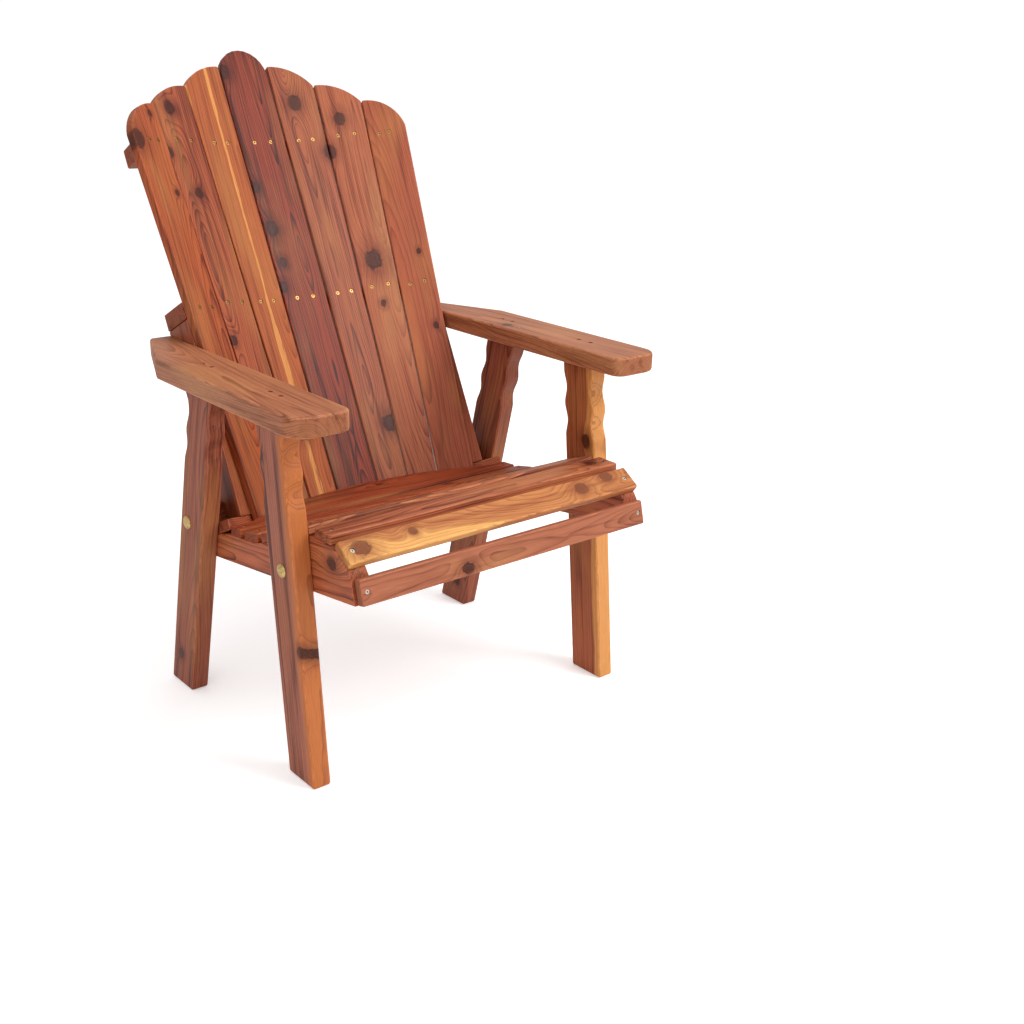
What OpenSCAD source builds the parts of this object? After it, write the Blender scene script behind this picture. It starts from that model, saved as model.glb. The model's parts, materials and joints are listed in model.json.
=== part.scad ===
// Adirondack chair in solid cedar, knock-down construction.
// +Z is up, the front of the seat faces -Y, and the origin lies on the floor
// in the middle of the chair's footprint. Right and left are the sitter's.

/* [Overall] */
// Width across the outer faces of the two seat rails
seat_w = 598; // [500:1:720]
// Height of the underside of the arms above the floor
arm_height = 600; // [540:1:700]
// Length of the centre back slat above the seat
back_l = 843; // [700:1:1020]
// Lean of the back from the vertical
back_tilt = 26.5; // [20:0.5:32]

/* [Boards] */
// Thickness of the legs, arms, seat rails and uprights
frame_t = 33; // [26:0.5:40]
// Thickness of the seat and back slats
slat_t = 16; // [13:0.5:20]

/* [Legs] */
// Width of a leg board, measured square to its edges
leg_w = 77; // [64:1:90]
// Lean of the front legs, foot forward
front_lean = 5.7; // [0:0.1:8]
// Lean of the rear legs, foot backward
rear_lean = 13.75; // [10:0.25:16]
// Depth of each scallop in the leg edges
scallop_d = 6; // [0:0.5:8]
// Length of one scallop along the leg
scallop_l = 61; // [50:1:64]
// Plain length of leg between the arm and the first scallop
scallop_start = 24; // [15:1:40]

/* [Arms] */
// Width of an arm
arm_w = 102; // [90:1:124]
// Reach of the arm in front of the top of the front leg
arm_reach = 101; // [70:1:130]
// Radius of the arm's outer front corner
arm_outer_r = 36; // [20:1:44]
// Radius of the arm's inner front corner
arm_inner_r = 22; // [10:1:30]
// Length of the tapered outer side at the rear of the arm
arm_taper_l = 154; // [110:1:170]
// Width of the arm at its rear end
arm_tail_w = 40; // [34:1:60]

/* [Seat] */
// Width of one seat slat
seat_slat_w = 45; // [38:1:52]
// Gap between neighbouring seat slats
seat_gap = 14; // [8:1:16]
// Slope of each seat slat, front to back, down towards the back
seat_tilts = [0, 18, 24, 23, 12, 4]; // [0:1:26]
// Slope of the rounded-over front slat, down towards the front
nose_tilt = 33.5; // [25:0.5:45]
// Slope of the apron from the horizontal
apron_tilt = 76; // [65:0.5:85]
// Height of the apron
apron_w = 42; // [34:1:52]
// Inset of the apron's ends from the seat rails' outer faces
apron_inset = 5; // [0:1:10]
// Height of the front slats' seat on the rails above the floor
seat_h = 420.5; // [380:0.5:450]
// Distance of the first flat slat's front edge in front of the front leg's foot
seat_lead = 16.5; // [5:0.5:40]
// Slope of the seat rail's straight lower edge
rail_slope = 8.2; // [6:0.1:10]
// Full width of the seat rail board at its rear end
rail_w = 88; // [80:1:96]
// Depth of the contoured rear slat in the middle
contour_depth = 98.5; // [90:0.5:110]

/* [Back] */
// Radius of the hollow back, as a multiple of half the width between the legs
back_curve = 2.007; // [1.8:0.001:2.4]
// Clearance between the seat and the back slats
back_clear = 4; // [2:0.5:8]
// Gap between neighbouring back slats
back_gap = 3.2; // [2.6:0.2:5]
// Widths of the centre, inner, middle and outer slats at seat level, as percentages of
// half the width between the legs
foot_share = [29.8, 21.3, 21.1, 24.6]; // [18:0.1:34]
// Widths of the same slats near the top of the back, as the same percentages
head_share = [32.9, 28.5, 29.3, 25.4]; // [22:0.1:38]
// Step down from one slat's top to the next
head_step = 43; // [30:1:55]
// Drop of the outer slats' rounded tops at their outer edge
outer_drop = 62; // [45:1:72]
// Distance of the lower rail's underside below the foot of the back
lower_rail_drop = 33; // [28:1:40]
// Distance of the top rail's underside below the crown of the back
top_rail_drop = 205; // [190:1:230]
// Thickness of the lower, middle and top rails
rail_t = [19, 30, 33]; // [16:1:38]
// Depth of the middle and top rails behind the centre slat
rail_depth = 24; // [20:1:40]
// Depth of the lower rail behind the centre slat
lower_depth = 30; // [24:1:40]

/* [Fasteners] */
// Diameter of the machine bolts
bolt_d = 8; // [6:1:10]
// Diameter of a bolt's domed head
dome_d = 24; // [18:0.5:26]
// Height of a bolt's domed head
dome_h = 5; // [3:0.5:8]
// Width across the corners of a nut
nut_d = 15; // [13:0.5:17]
// Height of a nut
nut_h = 6.5; // [5:0.1:8]
// Length of bolt that stands out of its nut
bolt_proud = 3; // [1:0.5:6]
// Clearance on the diameter of a bolt hole
bolt_clear = 0.6; // [0.4:0.1:1]
// Outer diameter of a washer
washer_d = 22; // [18:1:24]
// Thickness of a washer
washer_t = 1.6; // [1:0.1:2.5]
// Diameter of the flat cut in the arm's tapered side for the bolt head
pocket_d = 27; // [26.5:0.5:30]
// Shank diameter of a wood screw
screw_d = 4; // [3:0.5:5]
// Head diameter of a wood screw
screw_head_d = 8; // [7:0.5:9]
// Spacing of the two screws in a centre, inner, middle and outer slat at each rail
screw_pair = [34, 29, 34, 30]; // [24:1:38]
// Height of those screws above the middle of the rail's edge
screw_rise = [9, 8, 9, 0]; // [0:1:10]
// Depth of a screw head below the surface of the arm
arm_screw_sunk = 3; // [1:0.5:5]
// Lengths of the arm, seat slat, back slat, lower rail and upright screws
screw_l = [75, 42, 38, 45, 80]; // [36:1:90]

/* [Hidden] */

RIGHT = -1;
LEFT = 1;
heartwood = [0.66, 0.33, 0.18];
sapwood = [0.85, 0.56, 0.27];
brass = [0.80, 0.68, 0.38];
overcut = 1;
arc_steps = 12;

// Side frames
leg_inner_x = seat_w / 2;
leg_outer_x = leg_inner_x + frame_t;
leg_mid_x = leg_inner_x + frame_t / 2;
front_foot_y = -145.5;
front_run = leg_w / cos(front_lean);
rear_run = leg_w / cos(rear_lean);
front_top_y = front_foot_y + arm_height * tan(front_lean);

// Arms
arm_inner_x = leg_inner_x - frame_t;
arm_outer_x = arm_inner_x + arm_w;
arm_front_y = front_top_y - arm_reach;
arm_mid_z = arm_height + frame_t / 2;
arm_screw_spread = 15;

// Back frame: the foot of the centre slat's front face at seat level
back_r = back_curve * leg_inner_x;
back_drop = 68.2;
back_z = seat_h - back_drop;
foot_w = foot_share * leg_inner_x / 100;
head_w = head_share * leg_inner_x / 100;
slat_below = 36;
crown_below = head_step * 0.75;
head_ref = 760;
slat_rear_r = back_r + slat_t;
rail_slack = 0.2;
rail_rear_y = slat_t + rail_depth;
arm_top_gap = 4.4;
middle_rail_w = (arm_height + frame_t + arm_top_gap - back_z
    + rail_rear_y * sin(back_tilt)) / cos(back_tilt);
rail_at = [-lower_rail_drop, middle_rail_w, back_l - top_rail_drop];
lower_bulge = 2;
lower_rear_y = slat_t + lower_bulge + lower_depth;
lower_rear_r = 875;
rail_end_gap = 0.5;
contour_clear = 4;
upright_out_x = arm_inner_x;
upright_in_x = upright_out_x - frame_t;
upright_foot = -40;
tail_gap = 1.1;
tail_y = lower_rear_y - lower_rear_r + tail_gap
    + sqrt(lower_rear_r * lower_rear_r - upright_in_x * upright_in_x);
tail_bolt = [(tail_y + rail_rear_y) / 2, 1];
arm_bolt_y = 22;

// Seat frame: corners of the rail's top edge are counted from the crest
crest = [front_foot_y - seat_lead, seat_h];
nose_round = 8.5;
function slope(a) = [cos(a), -sin(a)];
function facet(i) = i == 0 ? crest
    : facet(i - 1) + seat_slat_w * slope(seat_tilts[i - 1])
        + seat_gap * slope((seat_tilts[i - 1] + seat_tilts[i]) / 2);
last_facet = len(seat_tilts) - 1;
nose_top = crest - [nose_round, 0];
nose_end = nose_top - seat_slat_w * slope(-nose_tilt);
apron_top = nose_end - seat_gap * slope(-(nose_tilt + apron_tilt) / 2);
apron_end = apron_top - apron_w * slope(-apron_tilt);
function rail_under(y) = apron_end[1] - (y - apron_end[0]) * tan(rail_slope);

// The back stands clear of the contoured seat slat
contour_start = facet(last_facet);
contour_cap_x = leg_inner_x - frame_t - 13;
contour_rear = contour_start + contour_depth * slope(seat_tilts[last_facet]);
back_y = contour_rear[0] + back_clear;
function back_point(y, w) = [
    back_y + w * sin(back_tilt) + y * cos(back_tilt),
    back_z + w * cos(back_tilt) - y * sin(back_tilt)];
rear_bolt = back_point(tail_bolt[0], tail_bolt[1]);
front_bolt_y = front_foot_y + back_z * tan(front_lean) + front_run / 2;
front_bolt_rise = 37;
front_bolt = [front_bolt_y, rail_under(front_bolt_y) + front_bolt_rise];

// The rear leg stands round its bolt
rear_bolt_back = 54;
rear_foot_y = rear_bolt[0] + rear_bolt[1] * tan(rear_lean) - rear_bolt_back;
rear_top_y = rear_foot_y - arm_height * tan(rear_lean);

// The arm runs past its bolt and the upright
arm_bolt_w = (arm_mid_z - back_z + arm_bolt_y * sin(back_tilt)) / cos(back_tilt);
arm_bolt = back_point(arm_bolt_y, arm_bolt_w);
upright_rear = back_point(rail_rear_y, arm_bolt_w);
arm_past_upright = 8;
arm_rear_y = upright_rear[0] + arm_past_upright;
arm_pocket_depth = 6;
arm_pocket_x = arm_inner_x + arm_tail_w - arm_pocket_depth;

// Footprint centre
front_most = apron_end[0] - slat_t * sin(apron_tilt);
rear_most = back_point(slat_t, back_l)[0];
centre_y = (front_most + rear_most) / 2;

module centred() {
    translate([0, -centre_y, 0])
        children();
}

// Outline in the YZ plane, extruded between two X values
module side_board(x0, x1) {
    translate([x0, 0, 0])
        rotate([90, 0, 90])
            linear_extrude(x1 - x0)
                children();
}

// Copies for the right and the left side
module on_side(side) {
    if (side == RIGHT)
        mirror([1, 0, 0])
            children();
    else
        children();
}

module both_sides() {
    children();
    mirror([1, 0, 0])
        children();
}

// ---- fasteners ----

module bolt_hole(x0, x1, at) {
    translate([x0, at[0], at[1]])
        rotate([0, 90, 0])
            cylinder(h = x1 - x0, d = bolt_d + bolt_clear, $fn = 32);
}

module bolt_pocket(x0, x1, at) {
    translate([x0, at[0], at[1]])
        rotate([0, 90, 0])
            cylinder(h = x1 - x0, d = pocket_d, $fn = 48);
}

// Radius of the sphere that a bolt's head is a cap of
dome_r = (dome_h * dome_h + dome_d * dome_d / 4) / (2 * dome_h);

// Dome-head bolt with the underside of its head at the origin and its shank along -X
module bolt(grip) {
    rotate([0, 90, 0]) {
        intersection() {
            translate([0, 0, dome_h - dome_r])
                sphere(r = dome_r, $fn = 96);
            translate([-dome_d, -dome_d, 0])
                cube(2 * dome_d);
        }
        translate([0, 0, -grip])
            cylinder(h = grip, d = bolt_d, $fn = 32);
    }
}

module washer() {
    rotate([0, 90, 0])
        difference() {
            cylinder(h = washer_t, d = washer_d, $fn = 48);
            translate([0, 0, -overcut])
                cylinder(h = washer_t + 2 * overcut, d = bolt_d + bolt_clear, $fn = 32);
        }
}

module nut() {
    rotate([0, -90, 0])
        difference() {
            cylinder(h = nut_h, d = nut_d, $fn = 6);
            translate([0, 0, -overcut])
                cylinder(h = nut_h + 2 * overcut, d = bolt_d, $fn = 32);
        }
}

// Countersunk wood screw pointing down -Z, with its head's top at the origin
module wood_screw(l) {
    cone_h = (screw_head_d - screw_d) / 2;
    translate([0, 0, -cone_h])
        cylinder(h = cone_h, d1 = screw_d, d2 = screw_head_d, $fn = 32);
    translate([0, 0, -l])
        cylinder(h = l - cone_h, d = screw_d, $fn = 24);
}

// The hole that takes the same screw, open above the head by "above"
module screw_hole(l, above = overcut) {
    cone_h = (screw_head_d - screw_d) / 2;
    translate([0, 0, -cone_h])
        cylinder(h = cone_h, d1 = screw_d, d2 = screw_head_d, $fn = 32);
    cylinder(h = above, d = screw_head_d, $fn = 32);
    translate([0, 0, -l - overcut])
        cylinder(h = l + overcut, d = screw_d, $fn = 24);
}

// ---- legs ----

function scallop(s) = s < scallop_start || s > scallop_start + 2 * scallop_l ? 0
    : scallop_d * (1 - cos(360 * (s - scallop_start) / scallop_l)) / 2;

// Leg outline: the foot's front corner at foot_y, leaning by "lean" degrees
module leg_outline(foot_y, lean) {
    run = leg_w / cos(lean);
    steps = 2 * arc_steps;
    down = [for (i = [0:steps]) scallop_start + i * 2 * scallop_l / steps];
    front = [for (s = down) let (z = arm_height - s * cos(lean))
        [foot_y + z * tan(lean) + scallop(s), z]];
    rear = [for (i = [steps:-1:0]) let (s = down[i], z = arm_height - s * cos(lean))
        [foot_y + z * tan(lean) + run - scallop(s), z]];
    top_y = foot_y + arm_height * tan(lean);
    polygon(concat(
        [[top_y, arm_height]], front, [[foot_y, 0], [foot_y + run, 0]],
        rear, [[top_y + run, arm_height]]));
}

module leg(foot_y, lean, bolt_at) {
    difference() {
        side_board(leg_inner_x, leg_outer_x)
            leg_outline(foot_y, lean);
        bolt_hole(leg_inner_x - overcut, leg_outer_x + overcut, bolt_at);
        arm_screw_holes();
    }
}

module leg_front(side) {
    color(heartwood)
        centred()
            on_side(side)
                leg(front_foot_y, front_lean, front_bolt);
}

module leg_rear(side) {
    color(heartwood)
        centred()
            on_side(side)
                leg(rear_foot_y, -rear_lean, rear_bolt);
}

// ---- arms ----

function arc_points(c, r, a0, a1) =
    [for (i = [0:arc_steps]) let (a = a0 + (a1 - a0) * i / arc_steps)
        c + r * [cos(a), sin(a)]];

module arm_outline() {
    taper_y = arm_rear_y - arm_taper_l;
    polygon(concat(
        arc_points([arm_inner_x + arm_inner_r, arm_front_y + arm_inner_r],
            arm_inner_r, 180, 270),
        arc_points([arm_outer_x - arm_outer_r, arm_front_y + arm_outer_r],
            arm_outer_r, -90, 0),
        [[arm_outer_x, taper_y], [arm_inner_x + arm_tail_w, arm_rear_y],
            [arm_inner_x, arm_rear_y]]));
}

arm_screw_y = [for (leg_y = [front_top_y + front_run / 2, rear_top_y + rear_run / 2],
    offset_y = [-arm_screw_spread, arm_screw_spread]) leg_y + offset_y];

module at_arm_screws() {
    for (y = arm_screw_y)
        translate([leg_mid_x, y, arm_height + frame_t - arm_screw_sunk])
            children();
}

module arm_screw_holes() {
    at_arm_screws()
        screw_hole(screw_l[0], arm_screw_sunk + overcut);
}

module arm(side) {
    color(heartwood)
        centred()
            on_side(side)
                difference() {
                    translate([0, 0, arm_height])
                        linear_extrude(frame_t)
                            arm_outline();
                    arm_screw_holes();
                    bolt_hole(arm_inner_x - overcut, arm_outer_x + overcut, arm_bolt);
                    bolt_pocket(arm_pocket_x, arm_outer_x + overcut, arm_bolt);
                }
}

// ---- seat ----

// Puts children on the rail's top edge at point p, with Y along the slope
module on_rail(p, tilt) {
    translate([0, p[0], p[1]])
        rotate([-tilt, 0, 0])
            children();
}

seat_screw_x = leg_inner_x - frame_t / 2;

// Screws through the middle of a seat slat into each rail
module seat_screws_at(p, tilt, w) {
    both_sides()
        on_rail(p, tilt)
            translate([seat_screw_x, w / 2, slat_t])
                children();
}

module each_seat_screw() {
    for (i = [0:last_facet - 1])
        seat_screws_at(facet(i), seat_tilts[i], seat_slat_w)
            children();
    seat_screws_at(contour_start, seat_tilts[last_facet], contour_end_w)
        children();
    seat_screws_at(nose_end, -nose_tilt, seat_slat_w)
        children();
    seat_screws_at(apron_end, -apron_tilt, apron_w)
        children();
}

ledge_y = [-15, 10];
horn_rise = 22;
rail_past_bolt = 20;

module seat_rail_outline() {
    contour_foot = contour_start + contour_end_w * slope(seat_tilts[last_facet]);
    ledge_front = back_point(ledge_y[0], rail_at[0]);
    ledge_rear = back_point(ledge_y[1], rail_at[0]);
    horn_front = back_point(ledge_y[1], horn_rise);
    rear_y = rear_bolt[0] + rail_past_bolt;
    slats = [for (i = [0:last_facet - 1], end = [0, 1])
        facet(i) + end * seat_slat_w * slope(seat_tilts[i])];
    polygon(concat(
        [apron_end, apron_top, nose_end, nose_top], slats,
        [contour_start, contour_foot, ledge_front, ledge_rear, horn_front],
        [[rear_y, rail_under(rear_y) + rail_w], [rear_y, rail_under(rear_y)]]));
}

module seat_rail(side) {
    color(heartwood)
        centred()
            on_side(side)
                difference() {
                    side_board(leg_inner_x - frame_t, leg_inner_x)
                        seat_rail_outline();
                    for (at = [front_bolt, rear_bolt])
                        bolt_hole(0, leg_outer_x, at);
                    each_seat_screw()
                        screw_hole(screw_l[1]);
                    at_lower_rail_screws()
                        screw_hole(screw_l[3]);
                }
}

module straight_seat_slat(p, tilt, w, half_l) {
    difference() {
        on_rail(p, tilt)
            translate([-half_l, 0, 0])
                cube([2 * half_l, w, slat_t]);
        seat_screws_at(p, tilt, w)
            screw_hole(screw_l[1]);
    }
}

module seat_slat(i) {
    color(heartwood)
        centred()
            straight_seat_slat(facet(i - 1), seat_tilts[i - 1], seat_slat_w, leg_inner_x);
}

module seat_nose_slat() {
    color(sapwood)
        centred()
            straight_seat_slat(nose_end, -nose_tilt, seat_slat_w, leg_inner_x);
}

module seat_apron() {
    color(heartwood)
        centred()
            straight_seat_slat(apron_end, -apron_tilt, apron_w, leg_inner_x - apron_inset);
}

// The rear slat bulges backwards, with its rear edge scribed to the hollow of the back
module seat_slat_contoured() {
    tilt = seat_tilts[last_facet];
    color(heartwood)
        centred()
            difference() {
                union() {
                    on_rail(contour_start, tilt)
                        translate([-leg_inner_x, 0, 0])
                            cube([2 * leg_inner_x, contour_end_w, slat_t]);
                    intersection() {
                        on_rail(contour_start, tilt)
                            translate([-contour_cap_x, 0, 0])
                                cube([2 * contour_cap_x, contour_depth + slat_t, slat_t]);
                        back_frame()
                            translate([0, -back_r, -back_r / 2])
                                cylinder(r = back_r - back_clear, h = back_r, $fn = 180);
                    }
                }
                seat_screws_at(contour_start, tilt, contour_end_w)
                    screw_hole(screw_l[1]);
            }
}

// ---- back ----

// The back's own frame: Z runs up the slats, Y points out of their rear faces
module back_frame() {
    translate([0, back_y, back_z])
        rotate([-back_tilt, 0, 0])
            children();
}

function sum_to(v, n) = n < 0 ? 0 : v[n] + sum_to(v, n - 1);
// Distance round the curve from the centre to the outer edge of slat j at height w
function slat_edge(j, w) = let (
    foot = sum_to(foot_w, j) - foot_w[0] / 2,
    head = sum_to(head_w, j) - head_w[0] / 2)
    foot + (head - foot) * w / head_ref;
function inner_edge(j, w) = j == 0 ? -slat_edge(0, w) : slat_edge(j - 1, w);
function slat_mid(j, w) = (inner_edge(j, w) + slat_edge(j, w)) / 2;
function slat_tangent(j) = slat_mid(j, rail_at[1] + rail_t[1] / 2);
function slat_angle(j) = slat_tangent(j) / back_r * 180 / PI;

// Slat number n from 1 at the sitter's right to 7: its place from the centre
function slat_place(n) = abs(n - 4);

// Puts children in the plane of slat n, with its tangent point at X = 0
module on_slat(n) {
    on_side(n < 4 ? RIGHT : LEFT)
        translate([0, -back_r, 0])
            rotate([0, 0, -slat_angle(slat_place(n))])
                translate([0, back_r, 0])
                    children();
}

// Radius of an arc that falls by drop over a run, level where it starts
function fall_r(run, drop) = (run * run + drop * drop) / (2 * drop);

function head_points(j) = let (
    t0 = slat_tangent(j),
    top_w = back_l + head_step - crown_below - head_step * j,
    inner = inner_edge(j, top_w) + back_gap / 2 - t0,
    outer = slat_edge(j, top_w) - back_gap / 2 - t0,
    drop = j == 3 ? outer_drop : head_step,
    r = fall_r(outer - inner, drop))
    arc_points([inner, top_w - r], r, acos((outer - inner) / r), 90);

function crown_points() = let (
    r = slat_edge(0, back_l) - back_gap / 2)
    arc_points([0, back_l - r], r, 0, 180);

module slat_outline(j) {
    t0 = slat_tangent(j);
    polygon(concat(
        [[inner_edge(j, -slat_below) + back_gap / 2 - t0, -slat_below],
            [slat_edge(j, -slat_below) - back_gap / 2 - t0, -slat_below]],
        j == 0 ? crown_points() : head_points(j)));
}

function rail_mid(k) = rail_at[k] + rail_t[k] / 2;
// Furthest edge of slat j from its tangent point, over the thickness of rail k
function edge_run(j, k) = let (t0 = slat_tangent(j))
    max([for (w = [rail_at[k], rail_at[k] + rail_t[k]])
        max(slat_edge(j, w) - t0, t0 - inner_edge(j, w))]);
// Radius of the hollow front edge of rail k, just behind every slat
function rail_front_r(k) =
    norm([slat_rear_r, max([for (j = [0:3]) edge_run(j, k)])]) + rail_slack;

// The contoured seat slat stops short of the lower rail's ends, over the seat rails
lower_end_y = rail_front_r(0) * cos(asin(leg_inner_x / rail_front_r(0))) - back_r;
contour_end_w = (back_point(lower_end_y, rail_at[0])[0] - contour_clear - contour_start[0])
    / cos(seat_tilts[last_facet]);
// Places of the two screws of a slat across its width, closer in at the top rail's ends
function screw_spots(j, k) = k == 2 && j == 3 ? end_pair
    : [-screw_pair[j] / 2, screw_pair[j] / 2];

// The two screws of slat n at rail k, with their heads in its front face
module slat_screws_at(n, k) {
    j = slat_place(n);
    w = rail_mid(k) + (k == 0 ? 0 : screw_rise[j]);
    on_slat(n)
        for (t = screw_spots(j, k))
            translate([slat_mid(j, w) - slat_tangent(j) + t, 0, w])
                rotate([90, 0, 0])
                    children();
}

module rail_screws(k) {
    back_frame()
        for (n = [1:7])
            slat_screws_at(n, k)
                children();
}

module back_slat(n) {
    j = slat_place(n);
    color(heartwood)
        centred()
            difference() {
                back_frame()
                    on_slat(n)
                        translate([0, slat_t, 0])
                            rotate([90, 0, 0])
                                linear_extrude(slat_t)
                                    slat_outline(j);
                for (k = [0:2])
                    back_frame()
                        slat_screws_at(n, k)
                            screw_hole(screw_l[2]);
            }
}

// Crescent board: a hollow front edge, and the outline given as children
module crescent(k) {
    centred()
        difference() {
            back_frame()
                translate([0, 0, rail_at[k]])
                    linear_extrude(rail_t[k])
                        difference() {
                            children();
                            translate([0, -back_r])
                                circle(r = rail_front_r(k), $fn = 180);
                        }
            rail_screws(k)
                screw_hole(screw_l[2]);
            if (k == 0)
                at_lower_rail_screws()
                    screw_hole(screw_l[3]);
            if (k == 1)
                at_upright_screws()
                    screw_hole(screw_l[4]);
        }
}

// A rail's board before it is hollowed, with its two rear corners cut off
module rail_blank(half_l) {
    polygon([[-half_l, rail_front_y], [half_l, rail_front_y],
        [half_l, rail_rear_y - rail_cut], [half_l - rail_cut, rail_rear_y],
        [rail_cut - half_l, rail_rear_y], [-half_l, rail_rear_y - rail_cut]]);
}

end_pair = [-15, 5];
rail_front_y = -120;
rail_tuck = 19;
rail_over_arm = 2;
rail_cut = 3;
top_rail_half = back_r * sin(slat_edge(3, rail_mid(2)) / back_r * 180 / PI) - rail_tuck;
middle_rail_half = arm_inner_x + rail_over_arm;

module back_rail_top() {
    color(heartwood)
        crescent(2)
            rail_blank(top_rail_half);
}

module back_rail_middle() {
    color(heartwood)
        crescent(1)
            rail_blank(middle_rail_half);
}

module back_rail_lower() {
    half_l = leg_inner_x - rail_end_gap;
    color(heartwood)
        crescent(0)
            intersection() {
                translate([-half_l, rail_front_y])
                    square([2 * half_l, lower_rear_y - rail_front_y]);
                translate([0, lower_rear_y - lower_rear_r])
                    circle(r = lower_rear_r, $fn = 240);
            }
}

// Upright: planed in front to the outer slat's rear face and notched over the lower rail
module back_upright(side) {
    notch_w = rail_at[0] + rail_t[0];
    color(heartwood)
        centred()
            on_side(side)
                difference() {
                    back_frame()
                        difference() {
                            translate([upright_in_x, rail_front_y, upright_foot])
                                cube([frame_t, rail_rear_y - rail_front_y,
                                    rail_at[1] - upright_foot]);
                            on_slat(7)
                                translate([-back_r / 2, slat_t - back_r, upright_foot - overcut])
                                    cube([back_r, back_r, back_r * 2]);
                            translate([0, rail_front_y - overcut, upright_foot - overcut])
                                cube([leg_inner_x, tail_y - rail_front_y + overcut,
                                    notch_w - upright_foot + overcut]);
                        }
                    bolt_hole(0, leg_outer_x, rear_bolt);
                    bolt_hole(0, leg_outer_x, arm_bolt);
                    at_upright_screws()
                        screw_hole(screw_l[4]);
                }
}

// The lower rail's end screws stand this far behind its front edge
lower_screw_in = 49.5;
lower_screw_y = lower_end_y + lower_screw_in;
upright_screw_y = [-15, 5];

module at_lower_rail_screws() {
    both_sides()
        back_frame()
            translate([seat_screw_x, lower_screw_y, rail_at[0] + rail_t[0]])
                children();
}

module at_upright_screws() {
    both_sides()
        back_frame()
            for (y = upright_screw_y)
                translate([upright_in_x + frame_t / 2, y, rail_at[1] + rail_t[1]])
                    children();
}

// ---- fastener groups ----

// Inner faces that the nuts of the front leg, rear leg and arm bolts are tightened against
front_nut_x = leg_inner_x - frame_t;
rear_nut_x = upright_in_x;
nut_stack = washer_t + nut_h + bolt_proud;

module leg_bolts() {
    color(brass)
        centred()
            both_sides() {
                translate([leg_outer_x, front_bolt[0], front_bolt[1]])
                    bolt(leg_outer_x - front_nut_x + nut_stack);
                translate([leg_outer_x, rear_bolt[0], rear_bolt[1]])
                    bolt(leg_outer_x - rear_nut_x + nut_stack);
            }
}

module leg_bolt_washers() {
    color(brass)
        centred()
            both_sides() {
                translate([front_nut_x - washer_t, front_bolt[0], front_bolt[1]])
                    washer();
                translate([rear_nut_x - washer_t, rear_bolt[0], rear_bolt[1]])
                    washer();
            }
}

module leg_bolt_nuts() {
    color(brass)
        centred()
            both_sides() {
                translate([front_nut_x - washer_t, front_bolt[0], front_bolt[1]])
                    nut();
                translate([rear_nut_x - washer_t, rear_bolt[0], rear_bolt[1]])
                    nut();
            }
}

module arm_bolts() {
    color(brass)
        centred()
            both_sides()
                translate([arm_pocket_x, arm_bolt[0], arm_bolt[1]])
                    bolt(arm_pocket_x - upright_in_x + nut_stack);
}

module arm_bolt_washers() {
    color(brass)
        centred()
            both_sides()
                translate([upright_in_x - washer_t, arm_bolt[0], arm_bolt[1]])
                    washer();
}

module arm_bolt_nuts() {
    color(brass)
        centred()
            both_sides()
                translate([upright_in_x - washer_t, arm_bolt[0], arm_bolt[1]])
                    nut();
}

module arm_screws() {
    color(brass)
        centred()
            both_sides()
                at_arm_screws()
                    wood_screw(screw_l[0]);
}

module seat_slat_screws() {
    color(brass)
        centred()
            each_seat_screw()
                wood_screw(screw_l[1]);
}

module lower_rail_screws() {
    color(brass)
        centred()
            at_lower_rail_screws()
                wood_screw(screw_l[3]);
}

module upright_screws() {
    color(brass)
        centred()
            at_upright_screws()
                wood_screw(screw_l[4]);
}

module back_screws(k) {
    color(brass)
        centred()
            rail_screws(k)
                wood_screw(screw_l[2]);
}

leg_front(RIGHT);  // leg_front_right
leg_front(LEFT);  // leg_front_left
leg_rear(RIGHT);  // leg_rear_right
leg_rear(LEFT);  // leg_rear_left
arm(RIGHT);  // arm_right
arm(LEFT);  // arm_left
seat_rail(RIGHT);  // seat_rail_right
seat_rail(LEFT);  // seat_rail_left
seat_apron();
seat_nose_slat();
seat_slat(1);  // seat_slat_1
seat_slat(2);  // seat_slat_2
seat_slat(3);  // seat_slat_3
seat_slat(4);  // seat_slat_4
seat_slat(5);  // seat_slat_5
seat_slat_contoured();
back_slat(1);  // back_slat_1
back_slat(2);  // back_slat_2
back_slat(3);  // back_slat_3
back_slat(4);  // back_slat_4
back_slat(5);  // back_slat_5
back_slat(6);  // back_slat_6
back_slat(7);  // back_slat_7
back_rail_lower();
back_rail_middle();
back_rail_top();
back_upright(RIGHT);  // back_upright_right
back_upright(LEFT);  // back_upright_left
leg_bolts();
leg_bolt_washers();
leg_bolt_nuts();
arm_bolts();
arm_bolt_washers();
arm_bolt_nuts();
arm_screws();
seat_slat_screws();
lower_rail_screws();
upright_screws();
back_screws(0);  // back_screws_lower
back_screws(1);  // back_screws_middle
back_screws(2);  // back_screws_top
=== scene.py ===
"""Fan-backed cedar garden chair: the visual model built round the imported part."""
import json
import logging
import math
from dataclasses import dataclass, replace
from enum import Enum

import bmesh
import bpy
import numpy as np
from mathutils import Matrix, Vector

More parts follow.
